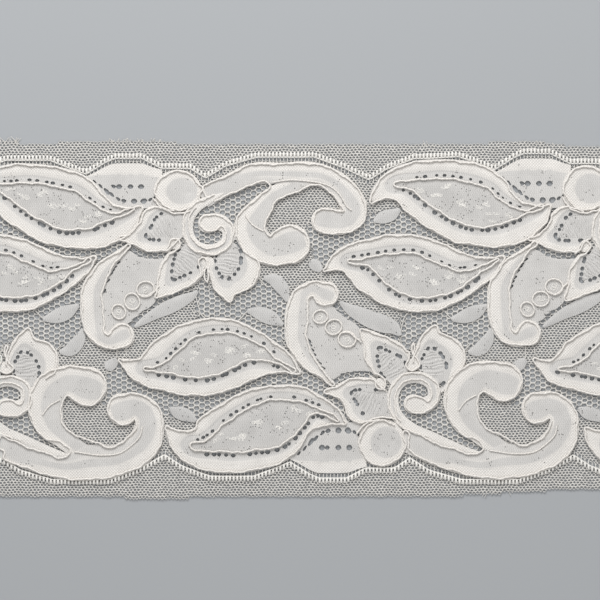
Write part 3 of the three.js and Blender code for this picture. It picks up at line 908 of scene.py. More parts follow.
def dotted_scallop(row):
    """A scallop in three strips that meet on two lines of round holes, one by the leaf and one in its
    middle."""
    leaf, border = scallop_edges()
    table_x, hole_y, radius = LEAF_SIDE_HOLES.T
    beside = np.stack([leaf[:, 0], np.interp(leaf[:, 0], table_x, hole_y)], 1)
    beside_cut = round_cuts(beside, table_x, radius)
    leaf_cut = np.minimum(beside_cut, LEAF_SIDE_ROOM * (beside - leaf)[:, 1])
    share = np.clip((MIDDLE_HOLE_LINE - beside[:, 1]) / (border - beside)[:, 1], *MIDDLE_SHARES)
    middle = beside + (border - beside) * share[:, None]
    middle_cut = round_cuts(middle, *MIDDLE_HOLES[row.name].T)
    pairs = [
        (leaf, eased(beside, leaf, leaf_cut), EVEN_TONES),
        (eased(beside, middle, beside_cut), eased(middle, beside, middle_cut), EVEN_TONES),
        (eased(middle, border, middle_cut), border, SCALLOP_TONES),
    ]
    return [strip(low, high, steps, tones, lift=SCALLOP_LIFT, crown=0.0)
            for (low, high, tones), steps in zip(pairs, SCALLOP_ACROSS)]


# Discs: points round the rim, radius of the hole in the middle, lift and crown, and the rings of a
# whole disc and of a patch in a loop
DISC_SIDES = 64
DISC_PIN = 0.02
DISC_LIFT = 0.1
DISC_CROWN = 0.15
DISC_STEPS = 10
PATCH_STEPS = 4


def disc(centre, middle, radius, tones, steps):
    """A disc: rings that widen from a middle to a rim round its centre."""
    ring = circle(np.linspace(0, 2 * math.pi, DISC_SIDES, endpoint=False))
    inner, outer = middle + DISC_PIN * ring, centre + radius * ring
    return strip(inner, outer, steps, tones, lift=DISC_LIFT, crown=DISC_CROWN, closed=True)


def motifs():
    """Each row and copy of the motif that reaches the cut length."""
    for row in ROWS:
        for copy in COPIES:
            middle = row.along + copy * REPEAT
            if middle + MOTIF_AFTER > -HALF_LENGTH and middle - MOTIF_BEFORE < HALF_LENGTH:
                yield row, copy


def reaches(points):
    """True if any of the points lies on the cut length."""
    return (np.abs(points[:, 0]) < HALF_LENGTH).any()


def lay_thread(work, path, radius, sides, level):
    """Adds a round thread along a path, if it reaches the cut length."""
    if reaches(path):
        points, faces, _ = tube(path, radius, sides, level)
        work.add(points, faces)


def clothwork(part_of):
    """One kind of clothwork in every motif."""
    work = Fabric()
    for number, (row, copy) in enumerate(motifs()):
        rng = np.random.default_rng(CLOTH_SEED + number)
        for (points, faces, closeness, middle), cool, figure in part_of(row, copy, rng):
            points = on_trim(points, row, copy)
            if reaches(points):
                values = {"cool": np.full(len(points), cool), "figure": figure * middle}
                work.add(points, turned(faces, row.across < 0), closeness=closeness, **values)
    return work


# Net

# Spacing of the holes in a row, spacing of the rows or columns, and half the size of a hole
FINE_PITCH = 1.29
FINE_ROWS = 0.88
FINE_HOLE = (0.48, 0.38)
OPEN_PITCH = 1.78
OPEN_COLUMNS = 1.86
OPEN_HOLE = (0.72, 0.86)
# Pieces that each side of a cell is drawn in, one or two
FINE_PARTS = 1
OPEN_PARTS = 2

# Half the height of the net, how far it runs under the clothwork, how far it may reach across the trim,
# and the cells to spare at its ends
NET_HIGH = 0.17
NET_EROSION = 0.45
NET_REACH = 70.0
NET_SPARE = 3

# How uneven the holes are: spread of their sizes, and of their places as a share of the spacing
SIZE_SPREAD = 0.06
PLACE_SPREAD = 0.03

# Waves by which the net drifts along X and along Y: how far, turn for each mm of x, and of y, start
DRIFTS_X = ((0.1, 0.31, 0.83, 0), (0.08, -0.53, 1.37, 1))
DRIFTS_Y = ((0.1, 0.71, 0.47, 2), (0.07, 1.21, -0.9, 0))

# Places are the same if they agree to this many decimals
WELD_DECIMALS = 4

# Points on the outlines that bound the net, and every how many points of a longer line are used
BAND_SAMPLES = 120
DISC_SAMPLES = 60
ZONE_SAMPLES = 160
THINNING = 3

# The open slot inside the comb border, measured inwards from it
SLOT_FROM = 0.75
SLOT_TO = 1.95


def hexagon(pitch, spacing):
    """Corners of the cell round a hole in a staggered net: the points that are equally far from three
    holes."""
    side = (spacing**2 - pitch**2 / 4) / (2 * spacing)
    tip = (spacing**2 + pitch**2 / 4) / (2 * spacing)
    half = pitch / 2
    return np.array([(half, -side), (half, side), (0, tip), (-half, side), (-half, -side), (0, -tip)])


def staggered(pitch, spacing, upright):
    """Centres of a staggered net's cells on a grid, and which of them are shifted: every other row, by half
    the pitch, or every other column if upright."""
    reach = (NET_REACH, HALF_LENGTH) if upright else (HALF_LENGTH, NET_REACH)
    wide, high = int(reach[0] / pitch) + NET_SPARE, int(reach[1] / spacing) + NET_SPARE
    i, j = np.meshgrid(np.arange(-wide, wide + 1), np.arange(-high, high + 1), indexing="ij")
    shift = j % 2
    centres = np.stack([(i + shift / 2) * pitch, j * spacing], -1)
    return (centres[..., ::-1] if upright else centres), shift


def cell_corners(pitch, spacing, parts):
    """Corners of a cell, and the middles of its sides if each is drawn in two parts."""
    corners = hexagon(pitch, spacing)
    if parts > 1:
        halfway = (corners + np.roll(corners, -1, axis=0)) / 2
        corners = np.stack([corners, halfway], 1).reshape(-1, 2)
    return corners


def cell_rings(middles, corners, pitch, hole, upright, seed):
    """Three rings of points for each cell: a crest on the cell's edge, the rim of an uneven oval hole half
    way down, and a keel below the crest."""
    way = unit(corners)
    rng = np.random.default_rng(seed)
    size = rng.normal(1, SIZE_SPREAD, (len(middles), 1, 1))
    nudge = rng.normal(0, PLACE_SPREAD * pitch, (len(middles), 1, 2))
    rim = way / np.sqrt((way[:, 0] / hole[0])**2 + (way[:, 1] / hole[1])**2)[:, None] * size + nudge
    crest = np.broadcast_to(corners, rim.shape)
    if upright:
        crest, rim = crest[..., ::-1], rim[..., ::-1]
    return np.stack([
        np.concatenate([middles[:, None] + flat, np.full((*flat.shape[:2], 1), NET_LEVEL + up)], -1)
        for flat, up in ((crest, NET_HIGH), (rim, 0.0), (crest, -NET_HIGH))
    ], 1)


def cell_faces(kept, shift, sides):
    """Quads of each kept cell: from its crest to its rim, from its rim to its keel, and a wall from crest
    to keel where it has no neighbour."""
    i, j = np.nonzero(kept)
    place = np.arange(len(i) * 3 * sides).reshape(-1, 3, sides)
    crest, rim, keel = np.moveaxis(place, 1, 0)
    next_crest, next_rim, next_keel = np.moveaxis(np.roll(place, -1, axis=2), 1, 0)
    s = shift[i, j]
    neighbours = [
        (i + 1, j), (i + s, j + 1), (i - 1 + s, j + 1), (i - 1, j), (i - 1 + s, j - 1), (i + s, j - 1),
    ]
    bare = np.stack([~kept[at] for at in neighbours], 1).repeat(sides // len(neighbours), axis=1)
    return np.concatenate([
        np.stack([crest, next_crest, next_rim, rim], -1).reshape(-1, 4),
        np.stack([rim, next_rim, next_keel, keel], -1).reshape(-1, 4),
        np.stack([crest, keel, next_keel, next_crest], -1)[bare],
    ])


def net(keep, pitch, spacing, hole, parts, upright, seed):
    """Staggered net: a ring round each hole, for the cells that keep(centres) wants. Cells share the points
    of their crests and keels."""
    centres, shift = staggered(pitch, spacing, upright)
    kept = keep(centres.reshape(-1, 2)).reshape(shift.shape)
    kept[[0, -1]] = False
    kept[:, [0, -1]] = False
    corners = cell_corners(pitch, spacing, parts)
    points = cell_rings(centres[kept], corners, pitch, hole, upright, seed).reshape(-1, 3)
    welded, where = np.unique(np.round(points, WELD_DECIMALS), axis=0, return_inverse=True)
    faces = where.reshape(-1)[cell_faces(kept, shift, len(corners))]
    work = Fabric()
    work.add(stirred(welded), turned([faces], upright))
    return work


def stirred(points):
    """Uneven net: every point drifts along X and along Y by slow sines of its place."""
    x, y = points[:, 0], points[:, 1]
    drift_x, drift_y = (
        sum(far * np.sin(by_x * x + by_y * y + start) for far, by_x, by_y, start in waves)
        for waves in (DRIFTS_X, DRIFTS_Y)
    )
    return points + np.stack([drift_x, drift_y, np.zeros_like(x)], 1)


def shadow_shapes():
    """Outlines of all the clothwork, drawn in a little, inside which no net is made."""
    s = np.linspace(0, 1, BAND_SAMPLES)
    ring = circle(np.linspace(0, 2 * math.pi, DISC_SAMPLES)) * (DISC_RADIUS - NET_EROSION) + DISC_CENTRE
    shapes = []
    for row, copy in motifs():
        bands = motif_bands(row, copy)
        pairs = [sepal_cloth_sides(bands["sepal"]), scallop_edges()]
        flat = [ring, *(np.vstack([left[::THINNING], right[::-THINNING]]) for left, right in pairs)]
        flat += [outline(band, s, NET_EROSION) for name, band in bands.items() if "heart" not in name]
        shapes += [placed(shape, row, copy) for shape in flat]
    return shapes


def open_shapes():
    """Outlines of the zones of open net."""
    s = np.linspace(0, 1, ZONE_SAMPLES)
    return [placed(outline(zone, s), row, copy) for row, copy in motifs() for zone in OPEN_ZONES]


def within(points, shapes):
    """True for points within any of the shapes."""
    found = np.zeros(len(points), bool)
    for shape in shapes:
        found |= inside(points, shape)
    return found


def on_cut_length(points):
    """True for points between the cut edges."""
    x, y = points.T
    return (y > edge_at(x, LOWER_EDGE)) & (y < edge_at(x, UPPER_EDGE))


SHADOWS = shadow_shapes()
ZONES = open_shapes()


def in_slot(centres):
    """True for points in the open slot beside a comb border."""
    found = np.zeros(len(centres), bool)
    for row in ROWS:
        out = (centres[:, 1] - MIDDLE_LINE) * row.across - ROW_SPREAD
        gap = drawn_in(centres[:, 0], border_line(centres[:, 0], row), row) - out
        found |= (gap > SLOT_FROM) & (gap < SLOT_TO)
    return found


def fine_cells(centres):
    """True for cells of fine net: between the cut edges, and clear of the clothwork, the open net and the
    slots."""
    covered = within(centres, SHADOWS) | within(centres, ZONES) | in_slot(centres)
    return on_cut_length(centres) & ~covered


def open_cells(centres):
    """True for cells of open net: in its zones, between the cut edges and clear of the clothwork."""
    return on_cut_length(centres) & within(centres, ZONES) & ~within(centres, SHADOWS)


# Border

# Parts of the comb, at every mesh of the fine net: how far outwards, half its width, half its length,
# half its height, its level
TOOTH = (0.15, 0.4, 0.95, 0.32, 0.95)
RUNG = (-1.5, 0.15, 0.85, 0.16, 0.5)

# Their section: number of sides, share of half the length, share of the full size there
PEG_SIDES = 6
PEG_PROFILE = np.array([(-1, 0.45), (-0.8, 1), (0.8, 1), (1, 0.45)])

# The bar that joins them: radius, sides, level, how far outwards, points to each two meshes
BAR_RADIUS = 0.24
BAR_SIDES = 5
BAR_LEVEL = 0.85
BAR_OUT = -0.7
BAR_POINTS = 4


def border_line(x, row):
    """The comb border of a row: its repeat's straight stretches, moved along the trim."""
    start = BORDER[0, 0]
    at = (x - row.along - start) % REPEAT + start
    return np.interp(at, BORDER[:, 0], BORDER[:, 1])


def beside_border(x, row, out):
    """Points along a row's comb border, a distance outwards from it."""
    y = MIDDLE_LINE + (drawn_in(x, border_line(x, row), row) + out + ROW_SPREAD) * row.across
    return np.stack([x, y], 1)


def pegs(work, middles, half_wide, half_long, half_high, level):
    """Upright pegs at many places: a six-sided section along Y that narrows at both ends."""
    a = np.arange(PEG_SIDES) * 2 * math.pi / PEG_SIDES
    along, full = PEG_PROFILE[:, :1], PEG_PROFILE[:, 1:]
    peg = np.stack([
        full * half_wide * np.cos(a),
        np.broadcast_to(along * half_long, (len(PEG_PROFILE), PEG_SIDES)),
        full * half_high * np.sin(a) + level,
    ], -1).reshape(-1, 3)
    points = np.broadcast_to(peg, (len(middles), *peg.shape)).copy()
    points[..., :2] += middles[:, None]
    base = np.arange(len(middles))[:, None, None] * len(peg)
    blocks = grid_faces(len(PEG_PROFILE), PEG_SIDES)
    faces = [(block[None] + base).reshape(-1, block.shape[1]) for block in blocks]
    work.add(points.reshape(-1, 3), turned(faces, True))


def comb_border(work):
    """Upright teeth and rungs at every mesh of the fine net, and the bar that joins them."""
    count = int(HALF_LENGTH / FINE_PITCH)
    meshes = (np.arange(-count, count) + 0.5) * FINE_PITCH
    along = np.linspace(-HALF_LENGTH, HALF_LENGTH, BAR_POINTS * count)
    for row in ROWS:
        for out, *sizes in (TOOTH, RUNG):
            pegs(work, beside_border(meshes, row, out), *sizes)
        lay_thread(work, beside_border(along, row, BAR_OUT), BAR_RADIUS, BAR_SIDES, BAR_LEVEL)


# Raised curls of thread in the middle of each leaf's heart, and in the rings of the chain

CURL_RADIUS = 0.12
CURL_SIDES = 4
CURL_POINTS = 22
CURL_LEVEL = CLOTH_TOP + 0.14

# A heart's curls: length, then the spread of their places and the ranges of their turns, angles and
# half widths
CURL_LENGTH = 2.2
CURL_SPREAD = 1.1
CURL_TURNS = (1.6, 2.6)
CURL_ANGLES = (-0.6, 0.6)
CURL_WIDTHS = (0.35, 0.55)

# A ring's curl: range of its angle, length and half width as shares of the ring's radius, turns
RING_CURL_ANGLES = (0, 3)
RING_CURL_LENGTH = 0.7
RING_CURL_WIDTH = 0.3
RING_CURL_TURNS = 2.2

# Clusters along a heart: share of the way from its tip, share of half its width to the side, number of
# curls
CURL_CLUSTERS = [
    (0.24, 0.1, 2), (0.34, -0.25, 3), (0.42, 0.3, 3), (0.5, -0.1, 4), (0.58, 0.25, 3), (0.66, -0.2, 3),
    (0.74, 0.05, 2),
]


def curl(middle, angle, long, wide, turns):
    """A curl: a small circle that moves on along a line."""
    u = np.linspace(0, 1, CURL_POINTS)
    turn = 2 * math.pi * turns * u
    flat = np.stack([long * (u - 0.5) + wide * np.cos(turn), wide * np.sin(turn)], 1)
    c, s = math.cos(angle), math.sin(angle)
    return middle + flat @ np.array([(c, s), (-s, c)])


def curl_paths(row, copy, rng):
    """The curls of one motif: clusters along each leaf's heart, and one in each ring."""
    bands = motif_bands(row, copy)
    for heart in ("heart_inner", "heart_outer"):
        for t, side, count in CURL_CLUSTERS:
            point, slope = spine(bands[heart].sections, np.array([t]))
            middle = point[0, :2] + leftwards(unit(slope[:, :2]))[0] * side * point[0, 2]
            for _ in range(count):
                at = middle + rng.normal(0, CURL_SPREAD, 2)
                turns = rng.uniform(*CURL_TURNS)
                angle = rng.uniform(*CURL_ANGLES)
                yield curl(at, angle, CURL_LENGTH, rng.uniform(*CURL_WIDTHS), turns)
    for x, y, radius in motif_line("rings", row, copy):
        angle = rng.uniform(*RING_CURL_ANGLES)
        long, wide = RING_CURL_LENGTH * radius, RING_CURL_WIDTH * radius
        yield curl(np.array([x, y]), angle, long, wide, RING_CURL_TURNS)


def heart_curls(work):
    """Curls in every heart and ring."""
    for number, (row, copy) in enumerate(motifs()):
        rng = np.random.default_rng(CURL_SEED + number)
        for path in curl_paths(row, copy, rng):
            lay_thread(work, placed(path, row, copy), CURL_RADIUS, CURL_SIDES, CURL_LEVEL)


def comb_and_curls():
    """The comb border of both rows and all the curls."""
    work = Fabric()
    comb_border(work)
    heart_curls(work)
    return work


# Loose and tying threads

THREAD_RADIUS = 0.22
THREAD_SIDES = 5
THREAD_STEP = 0.5
THREAD_LEVEL = NET_LEVEL + 0.25

# A frayed end: its section and points, the least share of its length, the most that it leans and bends,
# how far it goes sideways, the share of it that is rooted, how far inside the edge it starts, and its
# range of levels
FRAY_RADIUS = 0.11
FRAY_SIDES = 4
FRAY_POINTS = 7
FRAY_SHORTEST = 0.35
FRAY_LEAN = 1.1
FRAY_BEND = 1.2
FRAY_SIDEWAYS = 0.6
FRAY_ROOTED = 0.3
FRAY_INSIDE = 0.25
FRAY_LEVELS = (-0.1, 0.15)

# Where the cut edges are frayed: which edge, from x, to x, number of ends, longest end
FRAYED = [
    ("upper", -108, -101, 10, 2.6), ("upper", -70, -50, 26, 1.4), ("upper", 40, 46, 3, 2.6),
    ("upper", 76, 92, 10, 0.9), ("upper", -147, 147, 24, 0.7), ("lower", -147, 147, 24, 0.8),
    ("lower", 60, 76, 4, 1.6),
]


def tie_threads(work):
    """Threads that part the nets and tie tips to their neighbours."""
    for row, copy in motifs():
        for knots in TIE_THREADS:
            path = placed(smooth_line(knots, THREAD_STEP), row, copy)
            lay_thread(work, path, THREAD_RADIUS, THREAD_SIDES, THREAD_LEVEL)


def frayed_ends(work):
    """Frayed ends along the cut edges: each leaves its edge by its length, leaning by a line and
    bending by a square."""
    rng = np.random.default_rng(FRAY_SEED)
    u = np.linspace(-FRAY_ROOTED, 1, FRAY_POINTS)
    for name, start, end, count, longest in FRAYED:
        edge, out = EDGES[name]
        for x in rng.uniform(start, end, count):
            length = longest * rng.uniform(FRAY_SHORTEST, 1)
            lean = rng.uniform(-FRAY_LEAN, FRAY_LEAN)
            bend = rng.uniform(-FRAY_BEND, FRAY_BEND)
            path = np.stack([
                x + length * (lean * u + bend * u * u) * FRAY_SIDEWAYS,
                edge_at(x, edge) + out * (length * u - FRAY_INSIDE),
            ], 1)
            lay_thread(work, path, FRAY_RADIUS, FRAY_SIDES, NET_LEVEL + rng.uniform(*FRAY_LEVELS))


def loose_threads():
    """All the tie threads and frayed ends."""
    work = Fabric()
    tie_threads(work)
    frayed_ends(work)
    return work


# Cords

CORD_RADIUS = 0.32
CORD_SIDES = 7
CORD_STEP = 0.55
RING_CORD_RADIUS = 0.3
CREASE_RADIUS = 0.25

# Routes: samples of an outline and of a whole loop, step, how often corners are softened, and the
# overlap of a loop while that is done
ROUTE_SAMPLES = 400
LOOP_SAMPLES = 800
ROUTE_STEP = 0.3
ROUTE_PASSES = 6
LOOP_PASSES = 4
LOOP_OVERLAP = 12

# How far a cord strays sideways, its waves as share of that and length, the range of their lengths, and
# the turn within which they start
CORD_STRAY = 0.38
CORD_WAVES = ((0.5, 12), (0.35, 6.5), (0.25, 3.6))
WAVE_RANGE = (0.85, 1.15)
FULL_TURN = 6.28

# How far a cord rises and falls, and over what distance
CORD_SWELL = 0.05
CORD_SWELL_RUN = 2.3

# Rings: fewest points, and how oval they are
RING_POINTS = 18
RING_OVAL = 0.06

# Cords that go right round a band, cords along parts of outlines, (band, from, to), arcs in degrees, and
# lines, and thin creases
LOOPS = {"leaf_cords": ["leaf_inner", "heart_inner", "leaf_outer", "heart_outer"], "sepal_cords": ["sepal"]}
CORDS = {
    "leaf_cords": [],
    "sepal_cords": [["ring_link"]],
    "flower_cords": [
        ["petal_teardrop", ("petal_left", 0.13, 0.88), "petal_loop", ("petal_right", 0.18, 0.93)],
        [("petal_low", 0.02, 0.98)],
        [("spiral", 0.02, 0.615), "spiral_thread"],
    ],
    "scroll_cords": [
        [
            ("disc", -55, -345), "disc_loop", ("scroll", 0.975, 0.17), ("scroll_head", 0.93, 0.1),
            "throat_loop", ("scroll", 0.065, 0.01),
        ],
        [("disc_edge", -160, -62)],
    ],
}
# Arcs round the disc: radius
DISC_EDGE_OUT = 0.7
ARCS = {"disc": DISC_RADIUS - CORD_INSET, "disc_edge": DISC_RADIUS + DISC_EDGE_OUT}
CREASES = {"scroll_cords": ["scroll_crease", "scroll_head_crease"]}
# The solid cords that each piece stands for, by the start of their names after row and number
CORD_NODES = {
    "leaf_cords": ("leaf_",),
    "sepal_cords": ("sepal_cord", "ring_chain_cord"),
    "flower_cords": ("petal_", "spiral_cord"),
    "scroll_cords": ("scroll_cord", "disc_cord"),
}


def cord_line(items, row, copy):
    """The route of a cord along outlines and loops, with its corners softened."""
    parts = []
    for item in items:
        if isinstance(item, tuple):
            name, start, end = item
            share = np.linspace(start, end, ROUTE_SAMPLES)
            if name in ARCS:
                parts.append(DISC_CENTRE + ARCS[name] * circle(np.radians(share)))
            else:
                parts.append(outline(motif_bands(row, copy)[name], share, CORD_INSET))
        else:
            parts.append(smooth_line(motif_line(item, row, copy), ROUTE_STEP))
    return rounded(resampled(np.vstack(parts), ROUTE_STEP), ROUTE_PASSES)


def loop_line(band):
    """The route of a cord right round a band."""
    path = closed_outline(band, np.linspace(0, 1, LOOP_SAMPLES), CORD_INSET)
    path = resampled(path, ROUTE_STEP)
    overlapped = np.vstack([path[-LOOP_OVERLAP:-1], path, path[1:LOOP_OVERLAP]])
    return rounded(overlapped, LOOP_PASSES)[LOOP_OVERLAP - 1:-LOOP_OVERLAP]


def wobbled(path, rng):
    """A hand-guided line: it strays to either side by three waves that fit into its length."""
    run = run_of(path)
    stray = np.zeros(len(path))
    for share, long in CORD_WAVES:
        waves = round(run[-1] / long * rng.uniform(*WAVE_RANGE))
        stray += share * np.sin(2 * math.pi * waves * run / run[-1] + rng.uniform(0, FULL_TURN))
    return path + leftwards(unit(np.gradient(path, axis=0))) * (CORD_STRAY * stray)[:, None]


def ring_line(x, y, radius, rng):
    """A slightly oval ring: a circle whose radius goes up and down twice round it."""
    count = max(int(FULL_TURN * radius / CORD_STEP), RING_POINTS)
    a = np.linspace(0, 2 * math.pi, count, endpoint=False)
    reach = radius * (1 + RING_OVAL * np.sin(2 * a + rng.uniform(0, FULL_TURN)))
    return np.array((x, y)) + reach[:, None] * circle(a)


def cord_paths(piece, row, copy, rng):
    """The paths of one kind of cord in a motif: points, radius, whether it closes."""
    for name in LOOPS.get(piece, []):
        path = wobbled(loop_line(motif_bands(row, copy)[name]), rng)
        yield resampled(np.vstack([path, path[:1]]), CORD_STEP)[:-1], CORD_RADIUS, True
    for items in CORDS[piece]:
        yield resampled(wobbled(cord_line(items, row, copy), rng), CORD_STEP), CORD_RADIUS, False
    if piece == "sepal_cords":
        for ring in motif_line("rings", row, copy):
            yield ring_line(*ring, rng), RING_CORD_RADIUS, True
    for name in CREASES.get(piece, []):
        yield smooth_line(motif_line(name, row, copy), CORD_STEP), CREASE_RADIUS, False


def cords(piece):
    """All the cords of one kind, in every motif."""
    work = Fabric()
    for number, (row, copy) in enumerate(motifs()):
        rng = np.random.default_rng(CORD_SEED + number)
        for path, radius, closed in cord_paths(piece, row, copy, rng):
            path = placed(path, row, copy)
            if reaches(path):
                swell = CORD_SWELL * np.sin(run_of(path) / CORD_SWELL_RUN)
                level = CORD_LEVEL + radius - CORD_RADIUS + swell
                points, faces, ply = tube(path, radius, CORD_SIDES, level, closed)
                work.add(points, faces, ply=ply)
    return work


# Materials

# The knit, in millimetres: width of a rib, height of a row, width of a diamond
RIB_PITCH = 0.645
ROW_PITCH = 0.8
DIAMOND_PITCH = 1.05

# Noises for each metre: ribs' stray and how far it turns them, fibres, clouds on cloth, net and cord,
# pinholes and patches of them
STRAY_SCALE = 900.0
STRAY_TURN = 2.4
FIBRE_SCALE = 5200.0
CLOTH_CLOUDS = 160.0
THREAD_CLOUDS = 420.0
CORD_CLOUDS = 70.0
PINHOLE_SCALE = 1100.0
PATCH_SCALE = 260.0

# How finely a noise is broken up, and its mean
FEW_OCTAVES = 2.0
MORE_OCTAVES = 3.0
NOISE_MIDDLE = 0.5


def add_node(tree, kind, *sources, **settings):
    """A node whose inputs are set in order: a socket is linked, a value is set, and None is left."""
    made = tree.nodes.new("ShaderNode" + kind)
    for name, value in settings.items():
        setattr(made, name, value)
    for socket, source in zip(made.inputs, sources):
        if isinstance(source, bpy.types.NodeSocket):
            tree.links.new(source, socket)
        elif source is not None:
            socket.default_value = source
    return made


def calc(tree, operation, *sources):
    """One step of arithmetic on sockets or numbers."""
    return add_node(tree, "Math", *sources, operation=operation).outputs[0]


def noise(tree, place, scale, octaves):
    """Soft noise from 0 to 1 at a place."""
    return add_node(tree, "TexNoise", place, None, scale, octaves).outputs[0]


def shaded(tree, colour, shade):
    """A colour times a shade."""
    return add_node(tree, "MixRGB", 1.0, colour, shade, blend_type="MULTIPLY").outputs[0]


def knit_group():
    """Knitted thread as heights. Ribs are half the sum of the absolute sine of half x, and the sine of
    x times the sine of half y, all strayed by noise. Diamonds are the absolute sines of both diagonals,
    multiplied. Fibres are fine noise."""
    tree = bpy.data.node_groups.new("knit_grain", "ShaderNodeTree")
    tree.interface.new_socket("Place", in_out="INPUT", socket_type="NodeSocketVector")
    for name in ("Ribs", "Diamonds", "Fibres"):
        tree.interface.new_socket(name, in_out="OUTPUT", socket_type="NodeSocketFloat")
    entry = tree.nodes.new("NodeGroupInput")
    leave = tree.nodes.new("NodeGroupOutput")
    place = entry.outputs[0]
    along, across, _ = add_node(tree, "SeparateXYZ", place).outputs
    uneven = calc(tree, "SUBTRACT", noise(tree, place, STRAY_SCALE, FEW_OCTAVES), NOISE_MIDDLE)
    stray = calc(tree, "MULTIPLY", uneven, STRAY_TURN)
    x = calc(tree, "MULTIPLY_ADD", along, 2 * math.pi / (RIB_PITCH * MM), stray)
    y = calc(tree, "MULTIPLY_ADD", across, 2 * math.pi / (ROW_PITCH * MM), stray)
    half_x = calc(tree, "MULTIPLY", x, 0.5)
    half_y = calc(tree, "MULTIPLY", y, 0.5)
    stitch = calc(tree, "MULTIPLY", calc(tree, "SINE", x), calc(tree, "SINE", half_y))
    rib = calc(tree, "ADD", calc(tree, "ABSOLUTE", calc(tree, "SINE", half_x)), stitch)
    steep = math.pi / (DIAMOND_PITCH * MM)
    slants = []
    for operation in ("ADD", "SUBTRACT"):
        slant = calc(tree, "MULTIPLY", calc(tree, operation, along, across), steep)
        slants.append(calc(tree, "ABSOLUTE", calc(tree, "SINE", slant)))
    diamond = calc(tree, "MULTIPLY", *slants)
    fibres = noise(tree, place, FIBRE_SCALE, MORE_OCTAVES)
    for socket, height in zip(leave.inputs, (calc(tree, "MULTIPLY", rib, 0.5), diamond, fibres)):
        tree.links.new(height, socket)
    return tree


SPECULAR = 0.25
SHEEN_ROUGHNESS = 0.5


def new_material(name, colour, roughness, sheen):
    """A material with a matt fabric shader. Returns it, its tree and its shader."""
    material = bpy.data.materials.new(name)
    material.use_nodes = True
    shader = material.node_tree.nodes["Principled BSDF"]
    shader.inputs["Base Color"].default_value = (*colour, 1)
    shader.inputs["Roughness"].default_value = roughness
    shader.inputs["Specular IOR Level"].default_value = SPECULAR
    shader.inputs["Sheen Weight"].default_value = sheen
    shader.inputs["Sheen Roughness"].default_value = SHEEN_ROUGHNESS
    return material, material.node_tree, shader


def bumped(tree, shader, height, strength, depth):
    """Tilts the surface by a height, as deep as depth in millimetres."""
    bump = add_node(tree, "Bump", strength, depth * MM)
    tree.links.new(height, bump.inputs["Height"])
    tree.links.new(bump.outputs[0], shader.inputs["Normal"])


def placed_grain(tree, knit):
    """The knit group on the piece's own coordinates."""
    place = add_node(tree, "TexCoord").outputs["Object"]
    grain = tree.nodes.new("ShaderNodeGroup")
    grain.node_tree = knit
    tree.links.new(place, grain.inputs[0])
    return place, grain


CLOTH_COLOUR = (0.8, 0.78, 0.74)
# Sparse work is painted greyer than close work: partly its open gaps, partly painted shade in them
SPARSE_COLOUR = (0.68, 0.665, 0.645, 1)
CLOSE_COLOUR = (0.84, 0.81, 0.77, 1)
COOL_COLOUR = (0.66, 0.65, 0.635, 1)
# The painted shade that a pinhole shows
PINHOLE_SHADE_COLOUR = (0.13, 0.125, 0.12, 1)
NET_COLOUR = (0.70, 0.68, 0.645)
WHITE_COLOUR = (0.88, 0.86, 0.82)
CORD_COLOUR = (0.88, 0.85, 0.80)
CORD_PALE = (0.86, 0.835, 0.80, 1)
CORD_WARM = (0.84, 0.79, 0.735, 1)

# Cloth: closeness at which it starts to be white, is white, and is woven in diamonds, and the shares of
# its tone that come from its whiteness and its closeness
WHITE_FROM = 0.5
WHITE_FULL = 0.7
WOVEN_OVER = 0.86
WHITE_SHARE = 0.7
CLOSE_SHARE = 0.3

# Its shade: painted shade in the knit's hollows, how much heights and clouds add, how much a figured heart
# takes away. How much fibres add to its heights
HOLLOW_SHADE = 0.8
HEIGHT_SHADE = 0.22
CLOUD_SHADE = 0.22
FIGURE_SHADE = -0.08
FIBRE_HEIGHT = 0.5

# Its pinholes, painted dark as the shade seen through them: how much a figured and a sparse place opens,
# closeness that counts as sparse, openness at which they show, their radius in cells, how dark they are
FIGURE_OPENING = 0.12
SPARSE_OPENING = 0.12
SPARSE_UNDER = 0.75
OPEN_OVER = 0.66
PINHOLE_RADIUS = 0.24
PINHOLE_DARK = 0.8

# Thread: painted shade in the hollows between its fibres, and how much fibres and clouds add
THREAD_HOLLOW = 0.68
THREAD_FIBRES = 0.3
THREAD_CLOUDING = 0.3

# Cord: length of one turn of its twist, how much fibres stand out on it, share of warm clouds, shade of
# its middle, how much painted shade and light the twist adds, darker in the grooves between its plies
PLY_TURN = 1.5
PLY_FIBRES = 0.6
WARM_SHARE = 0.9
PLY_MIDDLE = 0.96
PLY_SHADE = 0.05


def pinholes(tree, place, close, figure):
    """Where pinholes show: round the middles of small cells, in open places. Openness is soft noise plus
    shares of how figured and how sparse the cloth is. Each is painted as a dark spot of shade; no hole is
    cut."""
    patchy = noise(tree, place, PATCH_SCALE, FEW_OCTAVES)
    thin = calc(tree, "MULTIPLY", calc(tree, "SUBTRACT", SPARSE_UNDER, close), SPARSE_OPENING)
    openness = calc(tree, "ADD", calc(tree, "MULTIPLY_ADD", figure, FIGURE_OPENING, patchy), thin)
    cells = add_node(tree, "TexVoronoi", place, None, PINHOLE_SCALE)
    near = calc(tree, "LESS_THAN", cells.outputs["Distance"], PINHOLE_RADIUS)
    return calc(tree, "MULTIPLY", near, calc(tree, "GREATER_THAN", openness, OPEN_OVER))


